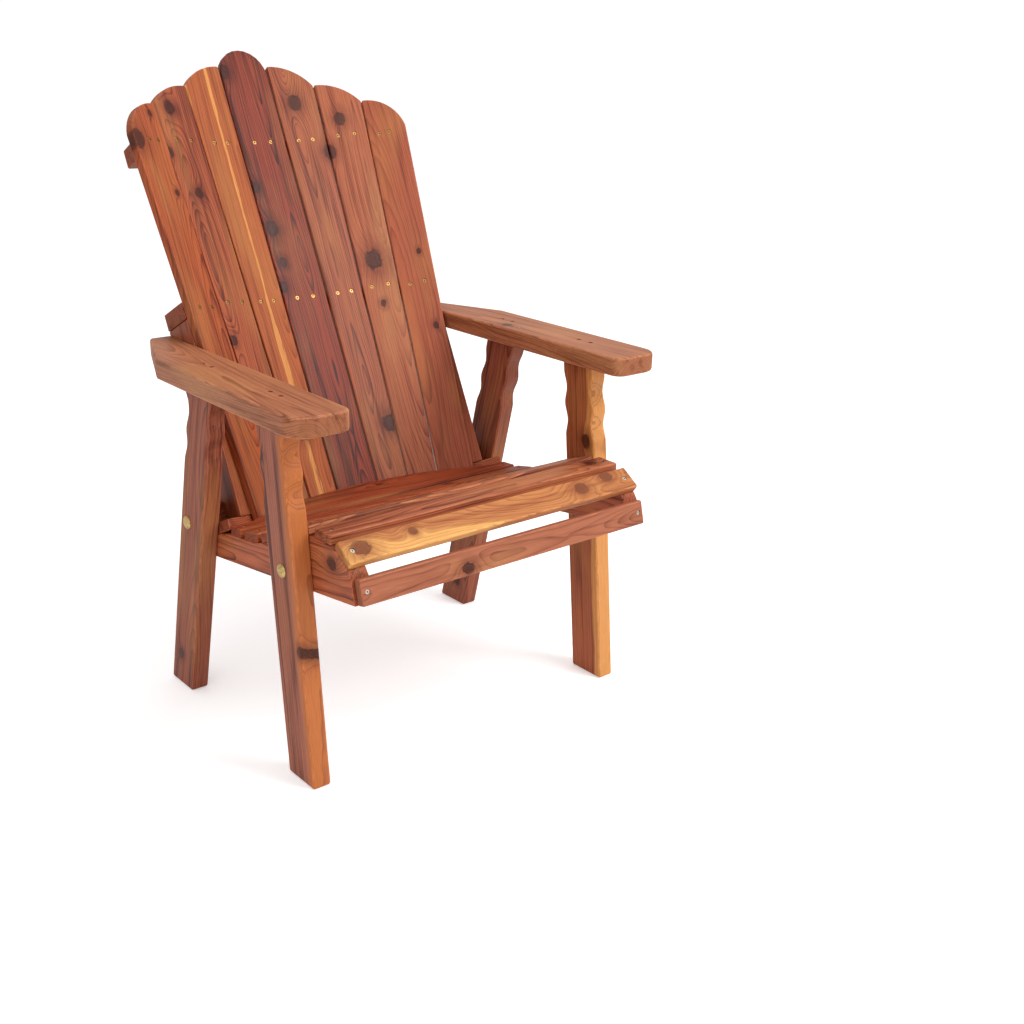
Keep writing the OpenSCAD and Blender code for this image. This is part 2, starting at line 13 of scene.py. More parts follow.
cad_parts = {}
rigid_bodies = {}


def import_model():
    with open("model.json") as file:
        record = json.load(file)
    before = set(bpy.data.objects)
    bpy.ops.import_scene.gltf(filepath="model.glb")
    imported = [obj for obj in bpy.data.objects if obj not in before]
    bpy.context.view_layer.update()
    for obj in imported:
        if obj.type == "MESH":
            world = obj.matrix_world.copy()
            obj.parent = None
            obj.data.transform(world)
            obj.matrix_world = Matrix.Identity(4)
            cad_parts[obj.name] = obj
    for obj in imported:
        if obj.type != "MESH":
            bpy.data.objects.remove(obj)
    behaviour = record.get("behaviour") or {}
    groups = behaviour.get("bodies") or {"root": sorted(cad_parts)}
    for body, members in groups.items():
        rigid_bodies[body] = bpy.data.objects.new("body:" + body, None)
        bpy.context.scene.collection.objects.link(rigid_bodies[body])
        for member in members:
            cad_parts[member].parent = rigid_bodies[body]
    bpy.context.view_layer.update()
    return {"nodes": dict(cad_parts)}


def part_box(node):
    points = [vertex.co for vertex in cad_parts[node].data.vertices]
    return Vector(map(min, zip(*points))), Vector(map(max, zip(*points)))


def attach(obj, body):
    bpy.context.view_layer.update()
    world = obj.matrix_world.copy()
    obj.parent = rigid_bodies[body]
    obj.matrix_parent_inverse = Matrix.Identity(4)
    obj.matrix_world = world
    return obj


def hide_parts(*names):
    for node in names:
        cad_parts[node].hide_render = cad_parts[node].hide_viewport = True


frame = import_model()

log = logging.getLogger("chair")
logging.basicConfig(level=logging.INFO, format="%(name)s: %(message)s")

MM = 0.001
ROOT = "root"
Socket = bpy.types.NodeSocket
Feed = Socket | float | tuple | Vector | None


# ---- node sheets ----

class Sheet:
    """A node tree that is filled in by short calls."""

    def __init__(self, tree: bpy.types.NodeTree) -> None:
        """Keeps the tree that the nodes go in."""
        self.tree = tree

    def put(self, kind: str, **settings: object) -> bpy.types.Node:
        """Adds a node and sets its own properties.

        Args:
            kind: the node's type name.
            settings: property names and values.

        Returns:
            The new node.
        """
        node = self.tree.nodes.new(kind)
        for name, value in settings.items():
            setattr(node, name, value)
        return node

    def feed(self, socket: Socket, value: Feed) -> None:
        """Links a socket, or sets it where the value is plain."""
        if isinstance(value, Socket):
            self.tree.links.new(value, socket)
        elif value is not None:
            socket.default_value = value

    def sum(self, operation: str, *values: Feed, clamp: bool = False) -> Socket:
        """One Math node.

        Args:
            operation: the node's operation.
            values: sockets or numbers, in order.
            clamp: holds the result between 0 and 1.

        Returns:
            The result's socket.
        """
        node = self.put("ShaderNodeMath", operation=operation, use_clamp=clamp)
        for socket, value in zip(node.inputs, values):
            self.feed(socket, value)
        return node.outputs[0]

    def vector(self, operation: str, *values: Feed) -> bpy.types.Node:
        """One Vector Math node.

        Args:
            operation: the node's operation.
            values: sockets or vectors, in order.

        Returns:
            The node.
        """
        node = self.put("ShaderNodeVectorMath", operation=operation)
        for socket, value in zip(node.inputs, values):
            self.feed(socket, value)
        return node

    def ramp(self, value: Feed, low: float, high: float, start: float = 0.0, end: float = 1.0) -> Socket:
        """Smooth step of a value.

        Args:
            value: what is read.
            low: where the step starts.
            high: where it ends.
            start: result at low.
            end: result at high.

        Returns:
            The result's socket.
        """
        node = self.put("ShaderNodeMapRange", interpolation_type="SMOOTHSTEP")
        for name, number in (("Value", value), ("From Min", low), ("From Max", high),
                             ("To Min", start), ("To Max", end)):
            self.feed(node.inputs[name], number)
        return node.outputs["Result"]

    def tint(self, share: Feed, first: Feed, second: Feed, blend: str = "MIX") -> Socket:
        """Mixes two colours.

        Args:
            share: how much of the second shows.
            first: colour or socket.
            second: colour or socket.
            blend: blend type.

        Returns:
            The mixed colour's socket.
        """
        node = self.put("ShaderNodeMix", data_type="RGBA", blend_type=blend)
        self.feed(node.inputs[0], share)
        self.feed(node.inputs[6], first)
        self.feed(node.inputs[7], second)
        return node.outputs[2]

    def noise(self, place: Socket, scale: tuple, detail: float = 2.0, rough: float = 0.5,
              warp: float = 0.0) -> Socket:
        """Noise on coordinates stretched by a scale for each axis, from 0 to 1.

        Args:
            place: the coordinates.
            scale: cells a metre along each axis.
            detail: octaves.
            rough: weight of the finer octaves.
            warp: distortion.

        Returns:
            The value's socket.
        """
        stretched = self.vector("MULTIPLY", place, scale).outputs[0]
        node = self.put("ShaderNodeTexNoise")
        for name, value in (("Vector", stretched), ("Scale", 1.0), ("Detail", detail),
                            ("Roughness", rough), ("Distortion", warp)):
            self.feed(node.inputs[name], value)
        return node.outputs[0]


def shared_group(name: str, inputs: dict[str, object], outputs: dict[str, str]) -> tuple:
    """Starts a shader node group with named sockets.

    Args:
        name: the group's name.
        inputs: socket name to its plain value, which also gives the socket's type.
        outputs: socket name to "Float" or "Color".

    Returns:
        The tree, its sheet, the input node and the output node.
    """
    tree = bpy.data.node_groups.new(name, "ShaderNodeTree")
    for label, value in inputs.items():
        kind = "Float" if isinstance(value, float) else ("Vector" if len(value) == 3 else "Color")
        socket = tree.interface.new_socket(name=label, in_out="INPUT",
                                           socket_type="NodeSocket" + kind)
        socket.default_value = value
    for label, kind in outputs.items():
        tree.interface.new_socket(name=label, in_out="OUTPUT", socket_type="NodeSocket" + kind)
    sheet = Sheet(tree)
    return tree, sheet, sheet.put("NodeGroupInput"), sheet.put("NodeGroupOutput")


def linear(colour: tuple[int, int, int]) -> tuple[float, float, float, float]:
    """A display colour of 0 to 255 as scene-linear RGBA."""
    def channel(value: float) -> float:
        """One channel, linear."""
        share = value / 255
        return share / 12.92 if share <= 0.04045 else ((share + 0.055) / 1.055) ** 2.4
    return (*[channel(value) for value in colour], 1.0)


# ---- cedar ----

def knot_group() -> bpy.types.NodeTree:
    """The group that draws one knot and the bend of the grain round it.

    Returns:
        The group, which gives the knot's core, rim and halo and how far the grain bends.
    """
    tree, s, inp, out = shared_group(
        "Cedar Knot",
        {"Place": (0.0, 0.0, 0.0), "Along": 0.0, "Across": 0.0, "Radius": 0.01, "Lean": 0.3},
        {"Core": "Float", "Rim": "Float", "Halo": "Float", "Bend": "Float"})
    place = inp.outputs["Place"]
    parts = s.put("ShaderNodeSeparateXYZ")
    s.feed(parts.inputs[0], place)
    drift = s.sum("MULTIPLY", parts.outputs[2], inp.outputs["Lean"])
    along = s.sum("ADD", s.sum("SUBTRACT", parts.outputs[0], inp.outputs["Along"]), drift)
    across = s.sum("SUBTRACT", parts.outputs[1], inp.outputs["Across"])
    flat = s.put("ShaderNodeCombineXYZ")
    s.feed(flat.inputs[0], s.sum("DIVIDE", s.sum("MULTIPLY", along, 0.8), inp.outputs["Radius"]))
    s.feed(flat.inputs[1], s.sum("DIVIDE", across, inp.outputs["Radius"]))
    reach = s.vector("LENGTH", flat.outputs[0]).outputs["Value"]
    ragged = s.noise(place, (55.0, 75.0, 60.0), 4.0, 0.62)
    reach = s.sum("ADD", reach, s.sum("MULTIPLY", s.sum("SUBTRACT", ragged, 0.5), 1.7))
    s.feed(out.inputs["Core"], s.ramp(reach, 1.12, 0.55))
    rings = s.sum("PINGPONG", s.sum("MULTIPLY", reach, 2.6), 0.5)
    ring_mask = s.sum("MULTIPLY", s.sum("MULTIPLY", rings, 0.9), s.ramp(reach, 1.0, 0.8))
    off_rim = s.sum("ABSOLUTE", s.sum("SUBTRACT", reach, 0.9))
    edge = s.sum("MULTIPLY", s.ramp(off_rim, 0.3, 0.02), s.ramp(ragged, 0.36, 0.56))
    s.feed(out.inputs["Rim"], s.sum("MAXIMUM", edge, ring_mask))
    s.feed(out.inputs["Halo"], s.ramp(reach, 2.9, 0.7))
    squares = []
    for offset, widths in ((along, 3.2), (across, 1.7)):
        share = s.sum("DIVIDE", offset, s.sum("MULTIPLY", inp.outputs["Radius"], widths))
        squares.append(s.sum("POWER", share, 2.0))
    hump = s.sum("EXPONENT", s.sum("MULTIPLY", s.sum("ADD", *squares), -1.0))
    push = s.sum("MULTIPLY", inp.outputs["Radius"], 1.3)
    s.feed(out.inputs["Bend"], s.sum("MULTIPLY", hump, push))
    return tree


def figure_group() -> bpy.types.NodeTree:
    """The group that draws a board's growth rings, sapwood, streaks and fibre.

    Returns:
        The group, which gives one mask for each.
    """
    tree, s, inp, out = shared_group(
        "Cedar Figure",
        {"Place": (0.0, 0.0, 0.0), "Shift": (0.0, 0.0, 0.0), "Pith Across": 0.0, "Pith Depth": -0.04,
         "Ring": 0.003, "Wander": 0.03, "Sap From": 0.2, "Bend": 0.0},
        {"Late": "Float", "Sapwood": "Float", "Streak": "Float", "Fibre": "Float", "Tone": "Float"})
    shifted = s.vector("ADD", inp.outputs["Place"], inp.outputs["Shift"]).outputs[0]
    parts = s.put("ShaderNodeSeparateXYZ")
    s.feed(parts.inputs[0], inp.outputs["Place"])
    slow = s.sum("SUBTRACT", s.noise(shifted, (2.2, 4.0, 4.0), 1.0, 0.4), 0.5)
    small = s.sum("SUBTRACT", s.noise(shifted, (9.0, 34.0, 34.0), 2.0, 0.5), 0.5)
    flat = s.put("ShaderNodeCombineXYZ")
    s.feed(flat.inputs[0], s.sum("SUBTRACT", parts.outputs[1], inp.outputs["Pith Across"]))
    s.feed(flat.inputs[1], s.sum("ADD", s.sum("SUBTRACT", parts.outputs[2], inp.outputs["Pith Depth"]),
                                 s.sum("MULTIPLY", slow, s.sum("MULTIPLY", inp.outputs["Wander"], 2.4))))
    reach = s.vector("LENGTH", flat.outputs[0]).outputs["Value"]
    reach = s.sum("ADD", reach, s.sum("MULTIPLY", slow, inp.outputs["Wander"]))
    reach = s.sum("ADD", reach, s.sum("MULTIPLY", small, 0.0045))
    reach = s.sum("ADD", reach, inp.outputs["Bend"])
    count = s.sum("DIVIDE", reach, inp.outputs["Ring"])
    uneven = s.put("ShaderNodeTexNoise", noise_dimensions="1D")
    s.feed(uneven.inputs["W"], s.sum("MULTIPLY", count, 0.45))
    s.feed(uneven.inputs["Scale"], 1.0)
    s.feed(uneven.inputs["Detail"], 1.0)
    count = s.sum("ADD", count, s.sum("MULTIPLY", uneven.outputs[0], 2.2))
    part = s.sum("FRACT", count)
    late = s.sum("MULTIPLY", s.sum("POWER", part, 2.6), s.ramp(part, 1.0, 0.93))
    s.feed(out.inputs["Late"], late)
    ragged = s.sum("MULTIPLY", s.sum("SUBTRACT", s.noise(shifted, (7.0, 70.0, 70.0), 3.0, 0.6), 0.5), 0.012)
    past = s.sum("SUBTRACT", s.sum("ADD", reach, ragged), inp.outputs["Sap From"])
    s.feed(out.inputs["Sapwood"], s.ramp(past, -0.0015, 0.003))
    bands = s.noise(shifted, (3.0, 85.0, 85.0), 3.0, 0.6, 0.15)
    s.feed(out.inputs["Streak"], s.ramp(bands, 0.45, 0.72))
    s.feed(out.inputs["Fibre"], s.noise(shifted, (28.0, 1500.0, 1500.0), 2.0, 0.55))
    s.feed(out.inputs["Tone"], s.noise(shifted, (4.0, 16.0, 16.0), 2.0, 0.5))
    return tree


def dressing_group() -> bpy.types.NodeTree:
    """The group that colours a board's figure, wears and oils it, and paints a highlight on its rounded
    edges.

    Returns:
        The group, which gives the wood's colour, roughness and height.
    """
    tree, s, inp, out = shared_group(
        "Cedar Colour",
        {"Place": (0.0, 0.0, 0.0), "Heart": (0.4, 0.2, 0.1, 1.0), "Dark": (0.2, 0.1, 0.05, 1.0),
         "Sap": (0.7, 0.4, 0.2, 1.0), "Knot": (0.05, 0.02, 0.015, 1.0), "Figure": 1.0,
         "Late": 0.0, "Sapwood": 0.0, "Streak": 0.0, "Fibre": 0.5, "Tone": 0.5,
         "Core": 0.0, "Rim": 0.0, "Halo": 0.0, "Stripe": 0.0, "Wear And Highlight": 0.0, "End": 0.0},
        {"Colour": "Color", "Roughness": "Float", "Height": "Float"})
    get = inp.outputs
    shade = s.sum("ADD", s.sum("MULTIPLY", get["Late"], 0.95), s.sum("MULTIPLY", get["Streak"], 0.75))
    shade = s.sum("ADD", shade, s.sum("MULTIPLY", s.sum("SUBTRACT", get["Tone"], 0.5), 0.9))
    shade = s.sum("MULTIPLY", shade, get["Figure"], clamp=True)
    heart = s.tint(shade, get["Heart"], get["Dark"])
    warm = s.tint(s.sum("MULTIPLY", s.ramp(get["Tone"], 0.45, 0.75), 0.3, clamp=True), heart, get["Sap"])
    pale = s.tint(s.sum("MULTIPLY", get["Late"], 0.55), get["Sap"], heart)
    wood = s.tint(s.sum("MAXIMUM", get["Sapwood"], get["Stripe"], clamp=True), warm, pale)
    grain = s.sum("ADD", 0.62, s.sum("MULTIPLY", get["Fibre"], 0.82))
    lit = s.vector("SCALE", wood)
    s.feed(lit.inputs["Scale"], grain)
    wood = s.tint(s.sum("MULTIPLY", get["Halo"], 0.55), lit.outputs[0], get["Dark"])
    wood = s.tint(s.sum("MULTIPLY", get["Core"], 0.78), wood, get["Knot"])
    wood = s.tint(s.sum("MULTIPLY", get["Rim"], 0.9), wood, get["Knot"])
    wood = s.tint(s.sum("MULTIPLY", get["End"], 0.35), wood, get["Dark"])
    # Painted highlight and real wear: the rounded edges are brightened in broken patches.
    rub_and_sheen = s.noise(get["Place"], (60.0, 260.0, 260.0), 3.0, 0.6)
    worn_and_highlit = s.sum("MULTIPLY", get["Wear And Highlight"], s.ramp(rub_and_sheen, 0.36, 0.62), clamp=True)
    bright = s.vector("SCALE", wood)
    s.feed(bright.inputs["Scale"], 1.45)
    wood = s.tint(s.sum("MULTIPLY", worn_and_highlit, 0.55), wood, bright.outputs[0])
    s.feed(out.inputs["Colour"], wood)
    gloss = s.sum("ADD", 0.44, s.sum("MULTIPLY", get["Fibre"], 0.16))
    gloss = s.sum("ADD", gloss, s.sum("MULTIPLY", get["Late"], -0.08))
    gloss = s.sum("ADD", gloss, s.sum("MULTIPLY", get["End"], 0.18))
    s.feed(out.inputs["Roughness"], s.sum("ADD", gloss, s.sum("MULTIPLY", get["Core"], -0.08), clamp=True))
    height = s.sum("ADD", s.sum("MULTIPLY", get["Fibre"], 0.55), s.sum("MULTIPLY", get["Late"], 0.35))
    s.feed(out.inputs["Height"], s.sum("SUBTRACT", height, s.sum("MULTIPLY", get["Rim"], 0.6)))
    return tree


@dataclass(frozen=True)
class Knot:
    """A knot, in millimetres: up the board from its start, across from its middle, and its radius."""
    along: float
    across: float
    radius: float


@dataclass(frozen=True)
class CedarFinish:
    """The oiled cedar of one board, with colours as display values and lengths in millimetres."""
    heart: tuple[int, int, int] = (168, 88, 52)
    dark: tuple[int, int, int] = (98, 38, 22)
    sap: tuple[int, int, int] = (208, 140, 78)
    knot: tuple[int, int, int] = (56, 20, 12)
    figure: float = 1.0
    ring: float = 3.6
    pith: tuple[float, float] = (12.0, -46.0)
    wander: float = 26.0
    sap_from: float = 400.0
    stripe: tuple[float, float] | None = None
    knots: tuple[Knot, ...] = ()
    seed: int = 0

    def material(self, name: str, axes: "BoardAxes",
                 groups: dict[str, bpy.types.NodeTree]) -> bpy.types.Material:
        """The board's material, turned and centred on the board.

        Args:
            name: the board's name.
            axes: where the board lies.
            groups: the shared node groups.

        Returns:
            The material.
        """
        made = bpy.data.materials.new("cedar_" + name)
        made.use_nodes = True
        made.node_tree.nodes.clear()
        s = Sheet(made.node_tree)
        coords = s.put("ShaderNodeTexCoord")
        mapping = s.put("ShaderNodeMapping", vector_type="POINT")
        s.feed(mapping.inputs["Vector"], coords.outputs["Object"])
        mapping.inputs["Rotation"].default_value = axes.turn.to_euler()
        mapping.inputs["Location"].default_value = -(axes.turn @ axes.start)
        place = mapping.outputs[0]
        totals = {}
        for knot in self.knots:
            node = s.put("ShaderNodeGroup", node_tree=groups["knot"])
            s.feed(node.inputs["Place"], place)
            node.inputs["Along"].default_value = knot.along * MM
            node.inputs["Across"].default_value = knot.across * MM
            node.inputs["Radius"].default_value = knot.radius * MM
            for label in ("Core", "Rim", "Halo", "Bend"):
                way = "ADD" if label == "Bend" else "MAXIMUM"
                socket = node.outputs[label]
                totals[label] = s.sum(way, totals[label], socket) if label in totals else socket
        figure = s.put("ShaderNodeGroup", node_tree=groups["figure"])
        s.feed(figure.inputs["Place"], place)
        figure.inputs["Shift"].default_value = (self.seed * 1.37, self.seed * 0.61, self.seed * 0.23)
        figure.inputs["Pith Across"].default_value = self.pith[0] * MM
        figure.inputs["Pith Depth"].default_value = self.pith[1] * MM
        figure.inputs["Ring"].default_value = self.ring * MM
        figure.inputs["Wander"].default_value = self.wander * MM
        figure.inputs["Sap From"].default_value = self.sap_from * MM
        if "Bend" in totals:
            s.feed(figure.inputs["Bend"], totals.pop("Bend"))
        dress = s.put("ShaderNodeGroup", node_tree=groups["dressing"])
        s.feed(dress.inputs["Place"], place)
        for label in ("Late", "Sapwood", "Streak", "Fibre", "Tone"):
            s.feed(dress.inputs[label], figure.outputs[label])
        for label, socket in totals.items():
            s.feed(dress.inputs[label], socket)
        for label, colour in (("Heart", self.heart), ("Dark", self.dark),
                              ("Sap", self.sap), ("Knot", self.knot)):
            dress.inputs[label].default_value = linear(colour)
        dress.inputs["Figure"].default_value = self.figure
        if self.stripe:
            parts = s.put("ShaderNodeSeparateXYZ")
            s.feed(parts.inputs[0], place)
            middle, half_width = self.stripe[0] * MM, self.stripe[1] * MM
            wave = s.sum("SUBTRACT", s.noise(place, (5.0, 60.0, 60.0), 4.0, 0.65), 0.5)
            sway = s.sum("MULTIPLY", wave, 0.026)
            off = s.sum("ABSOLUTE", s.sum("ADD", s.sum("SUBTRACT", parts.outputs[1], middle), sway))
            s.feed(dress.inputs["Stripe"], s.ramp(off, half_width, half_width * 0.5))
        # The rounded edges' mark, read for real wear and a painted edge highlight.
        wear_and_highlight = s.put("ShaderNodeAttribute", attribute_name="wear_and_highlight")
        s.feed(dress.inputs["Wear And Highlight"], wear_and_highlight.outputs["Fac"])
        facing = s.put("ShaderNodeNewGeometry")
        end = s.vector("DOT_PRODUCT", facing.outputs["Normal"], tuple(axes.along)).outputs["Value"]
        s.feed(dress.inputs["End"], s.ramp(s.sum("ABSOLUTE", end), 0.72, 0.95))
        shader = s.put("ShaderNodeBsdfPrincipled")
        s.feed(shader.inputs["Base Color"], dress.outputs["Colour"])
        s.feed(shader.inputs["Roughness"], dress.outputs["Roughness"])
        shader.inputs["Specular IOR Level"].default_value = 0.2
        shader.inputs["Coat Weight"].default_value = 0.05
        shader.inputs["Coat Roughness"].default_value = 0.28
        bump = s.put("ShaderNodeBump")
        bump.inputs["Strength"].default_value = 0.35
        bump.inputs["Distance"].default_value = 0.0006
        s.feed(bump.inputs["Height"], dress.outputs["Height"])
        s.feed(shader.inputs["Normal"], bump.outputs[0])
        surface = s.put("ShaderNodeOutputMaterial")
        s.feed(surface.inputs["Surface"], shader.outputs[0])
        return made


# ---- boards ----

@dataclass(frozen=True)
class BoardAxes:
    """Where a board lies: the middle of its starting end, and its own three directions."""
    start: Vector
    along: Vector
    across: Vector
    depth: Vector

    @property
    def turn(self) -> Matrix:
        """Turns the shared frame to the board's own."""
        return Matrix((self.along, self.across, self.depth))

    @classmethod
    def of(cls, mesh: bmesh.types.BMesh) -> "BoardAxes":
        """Finds a board's directions from its widest face.

        Args:
            mesh: the board, with coplanar faces merged.

        Returns:
            The axes, each pointing the positive way along its main direction.
        """
        widest = max(mesh.faces, key=lambda face: face.calc_area())
        depth = positive(widest.normal.copy())
        middle = widest.calc_center_median_weighted()
        corners = np.array([loop.vert.co - middle for loop in widest.loops])
        steps = np.array([(loop.link_loop_next.vert.co - loop.vert.co).length for loop in widest.loops])
        middles = corners + 0.5 * (np.roll(corners, -1, axis=0) - corners)
        spread = (middles * steps[:, None]).T @ middles
        values, vectors = np.linalg.eigh(spread)
        along = positive(Vector(vectors[:, int(np.argmax(values))]))
        along = (along - depth * along.dot(depth)).normalized()
        across = depth.cross(along)
        places = np.array([vert.co[:] for vert in mesh.verts])
        centre = Vector((0.0, 0.0, 0.0))
        for axis, low_end in ((along, True), (across, False), (depth, False)):
            reach = places @ np.array(axis)
            centre += axis * float(reach.min() if low_end else (reach.min() + reach.max()) / 2)
        return cls(centre, along, across, depth)


def positive(direction: Vector) -> Vector:
    """The same line, pointing the positive way along its main axis."""
    main = max(range(3), key=lambda axis: abs(direction[axis]) + (0.001 if axis == 2 else 0.0))
    return -direction if direction[main] < 0 else direction


def node_mesh(name: str) -> bmesh.types.BMesh:
    """Merges a copy of a CAD node's loose triangles.

    Args:
        name: the CAD node.

    Returns:
        The merged copy.
    """
    mesh = bmesh.new()
    mesh.from_mesh(frame["nodes"][name].data)
    bmesh.ops.remove_doubles(mesh, verts=mesh.verts, dist=MERGE_CAD)
    return mesh


def islands(mesh: bmesh.types.BMesh) -> list[np.ndarray]:
    """The corner places of each separate solid in a mesh.

    Args:
        mesh: any merged mesh.

    Returns:
        One array of corners for each solid, in a steady order.
    """
    left = {vert.index for vert in mesh.verts}
    mesh.verts.ensure_lookup_table()
    found = []
    while left:
        stack, group = [min(left)], []
        left.discard(stack[0])
        while stack:
            vert = mesh.verts[stack.pop()]
            group.append(vert.co[:])
            for edge in vert.link_edges:
                other = edge.other_vert(vert).index
                if other in left:
                    left.discard(other)
                    stack.append(other)
        found.append(np.array(group))
    return found


@dataclass(frozen=True)
class Fastener:
    """One fastener: the top middle of its head, the way its head faces, and its length."""
    head: Vector
    facing: Vector
    length: float


def fasteners(name: str, sideways: bool = False) -> list[Fastener]:
    """Reads where the fasteners of a CAD node stand.

    Args:
        name: the CAD node.
        sideways: they lie along X, with their heads outwards.

    Returns:
        One record for each fastener.
    """
    mesh = node_mesh(name)
    found = []
    for corners in islands(mesh):
        middle = (corners.min(axis=0) + corners.max(axis=0)) / 2
        if sideways:
            facing = np.array((math.copysign(1.0, middle[0]), 0.0, 0.0))
        else:
            values, vectors = np.linalg.eigh(np.cov((corners - corners.mean(axis=0)).T))
            facing = vectors[:, 2]
        reach = (corners - middle) @ facing
        low, high = reach.min(), reach.max()
        if not sideways:
            wide = {}
            for end in (low, high):
                ring = corners[np.abs(reach - end) < END_BAND]
                wide[end] = np.ptp(ring, axis=0).max()
            if wide[low] > wide[high]:
                facing, low, high = -facing, -high, -low
        ends = corners[np.abs((corners - middle) @ facing - high) < END_BAND]
        rim = (ends.min(axis=0) + ends.max(axis=0)) / 2
        found.append(Fastener(Vector(rim), Vector(facing), float(high - low)))
    mesh.free()
    return found


class Cut(Enum):
    """The radius and depth of the sink that a screw's head stands in."""
    SCREW = (4.2 * MM, 2.6 * MM)
    ARM_SCREW = (4.4 * MM, 3.6 * MM)


SCREW_NODES = ("arm_screws", "seat_slat_screws", "lower_rail_screws", "upright_screws",
               "back_screws_lower", "back_screws_middle", "back_screws_top")
EASE_SEGMENTS = 4
# Corners this close are one corner
SAME_PLACE = 0.02 * MM
MERGE_CAD = 0.002 * MM
# Edges that turn more than this are eased
SHARP = math.radians(33)
FLAT = math.radians(0.6)
# A hole's wall is looked for within this distance of its fastener's middle line
SCREW_REACH = 5.2 * MM
BOLT_REACH = 14.8 * MM
# Corners within this of a fastener's end belong to that end
END_BAND = 0.3 * MM
# A screw belongs to each board whose box holds its head, give or take this
BOX_MARGIN = 4.0 * MM
HEAD_DEPTH = 1.0 * MM
# How far a sink's plug stands out of the board
PLUG_PROUD = 6.0 * MM
# Arm screws face straight up, further out than this
UPRIGHT = 0.98
ARM_REACH = 290.0 * MM


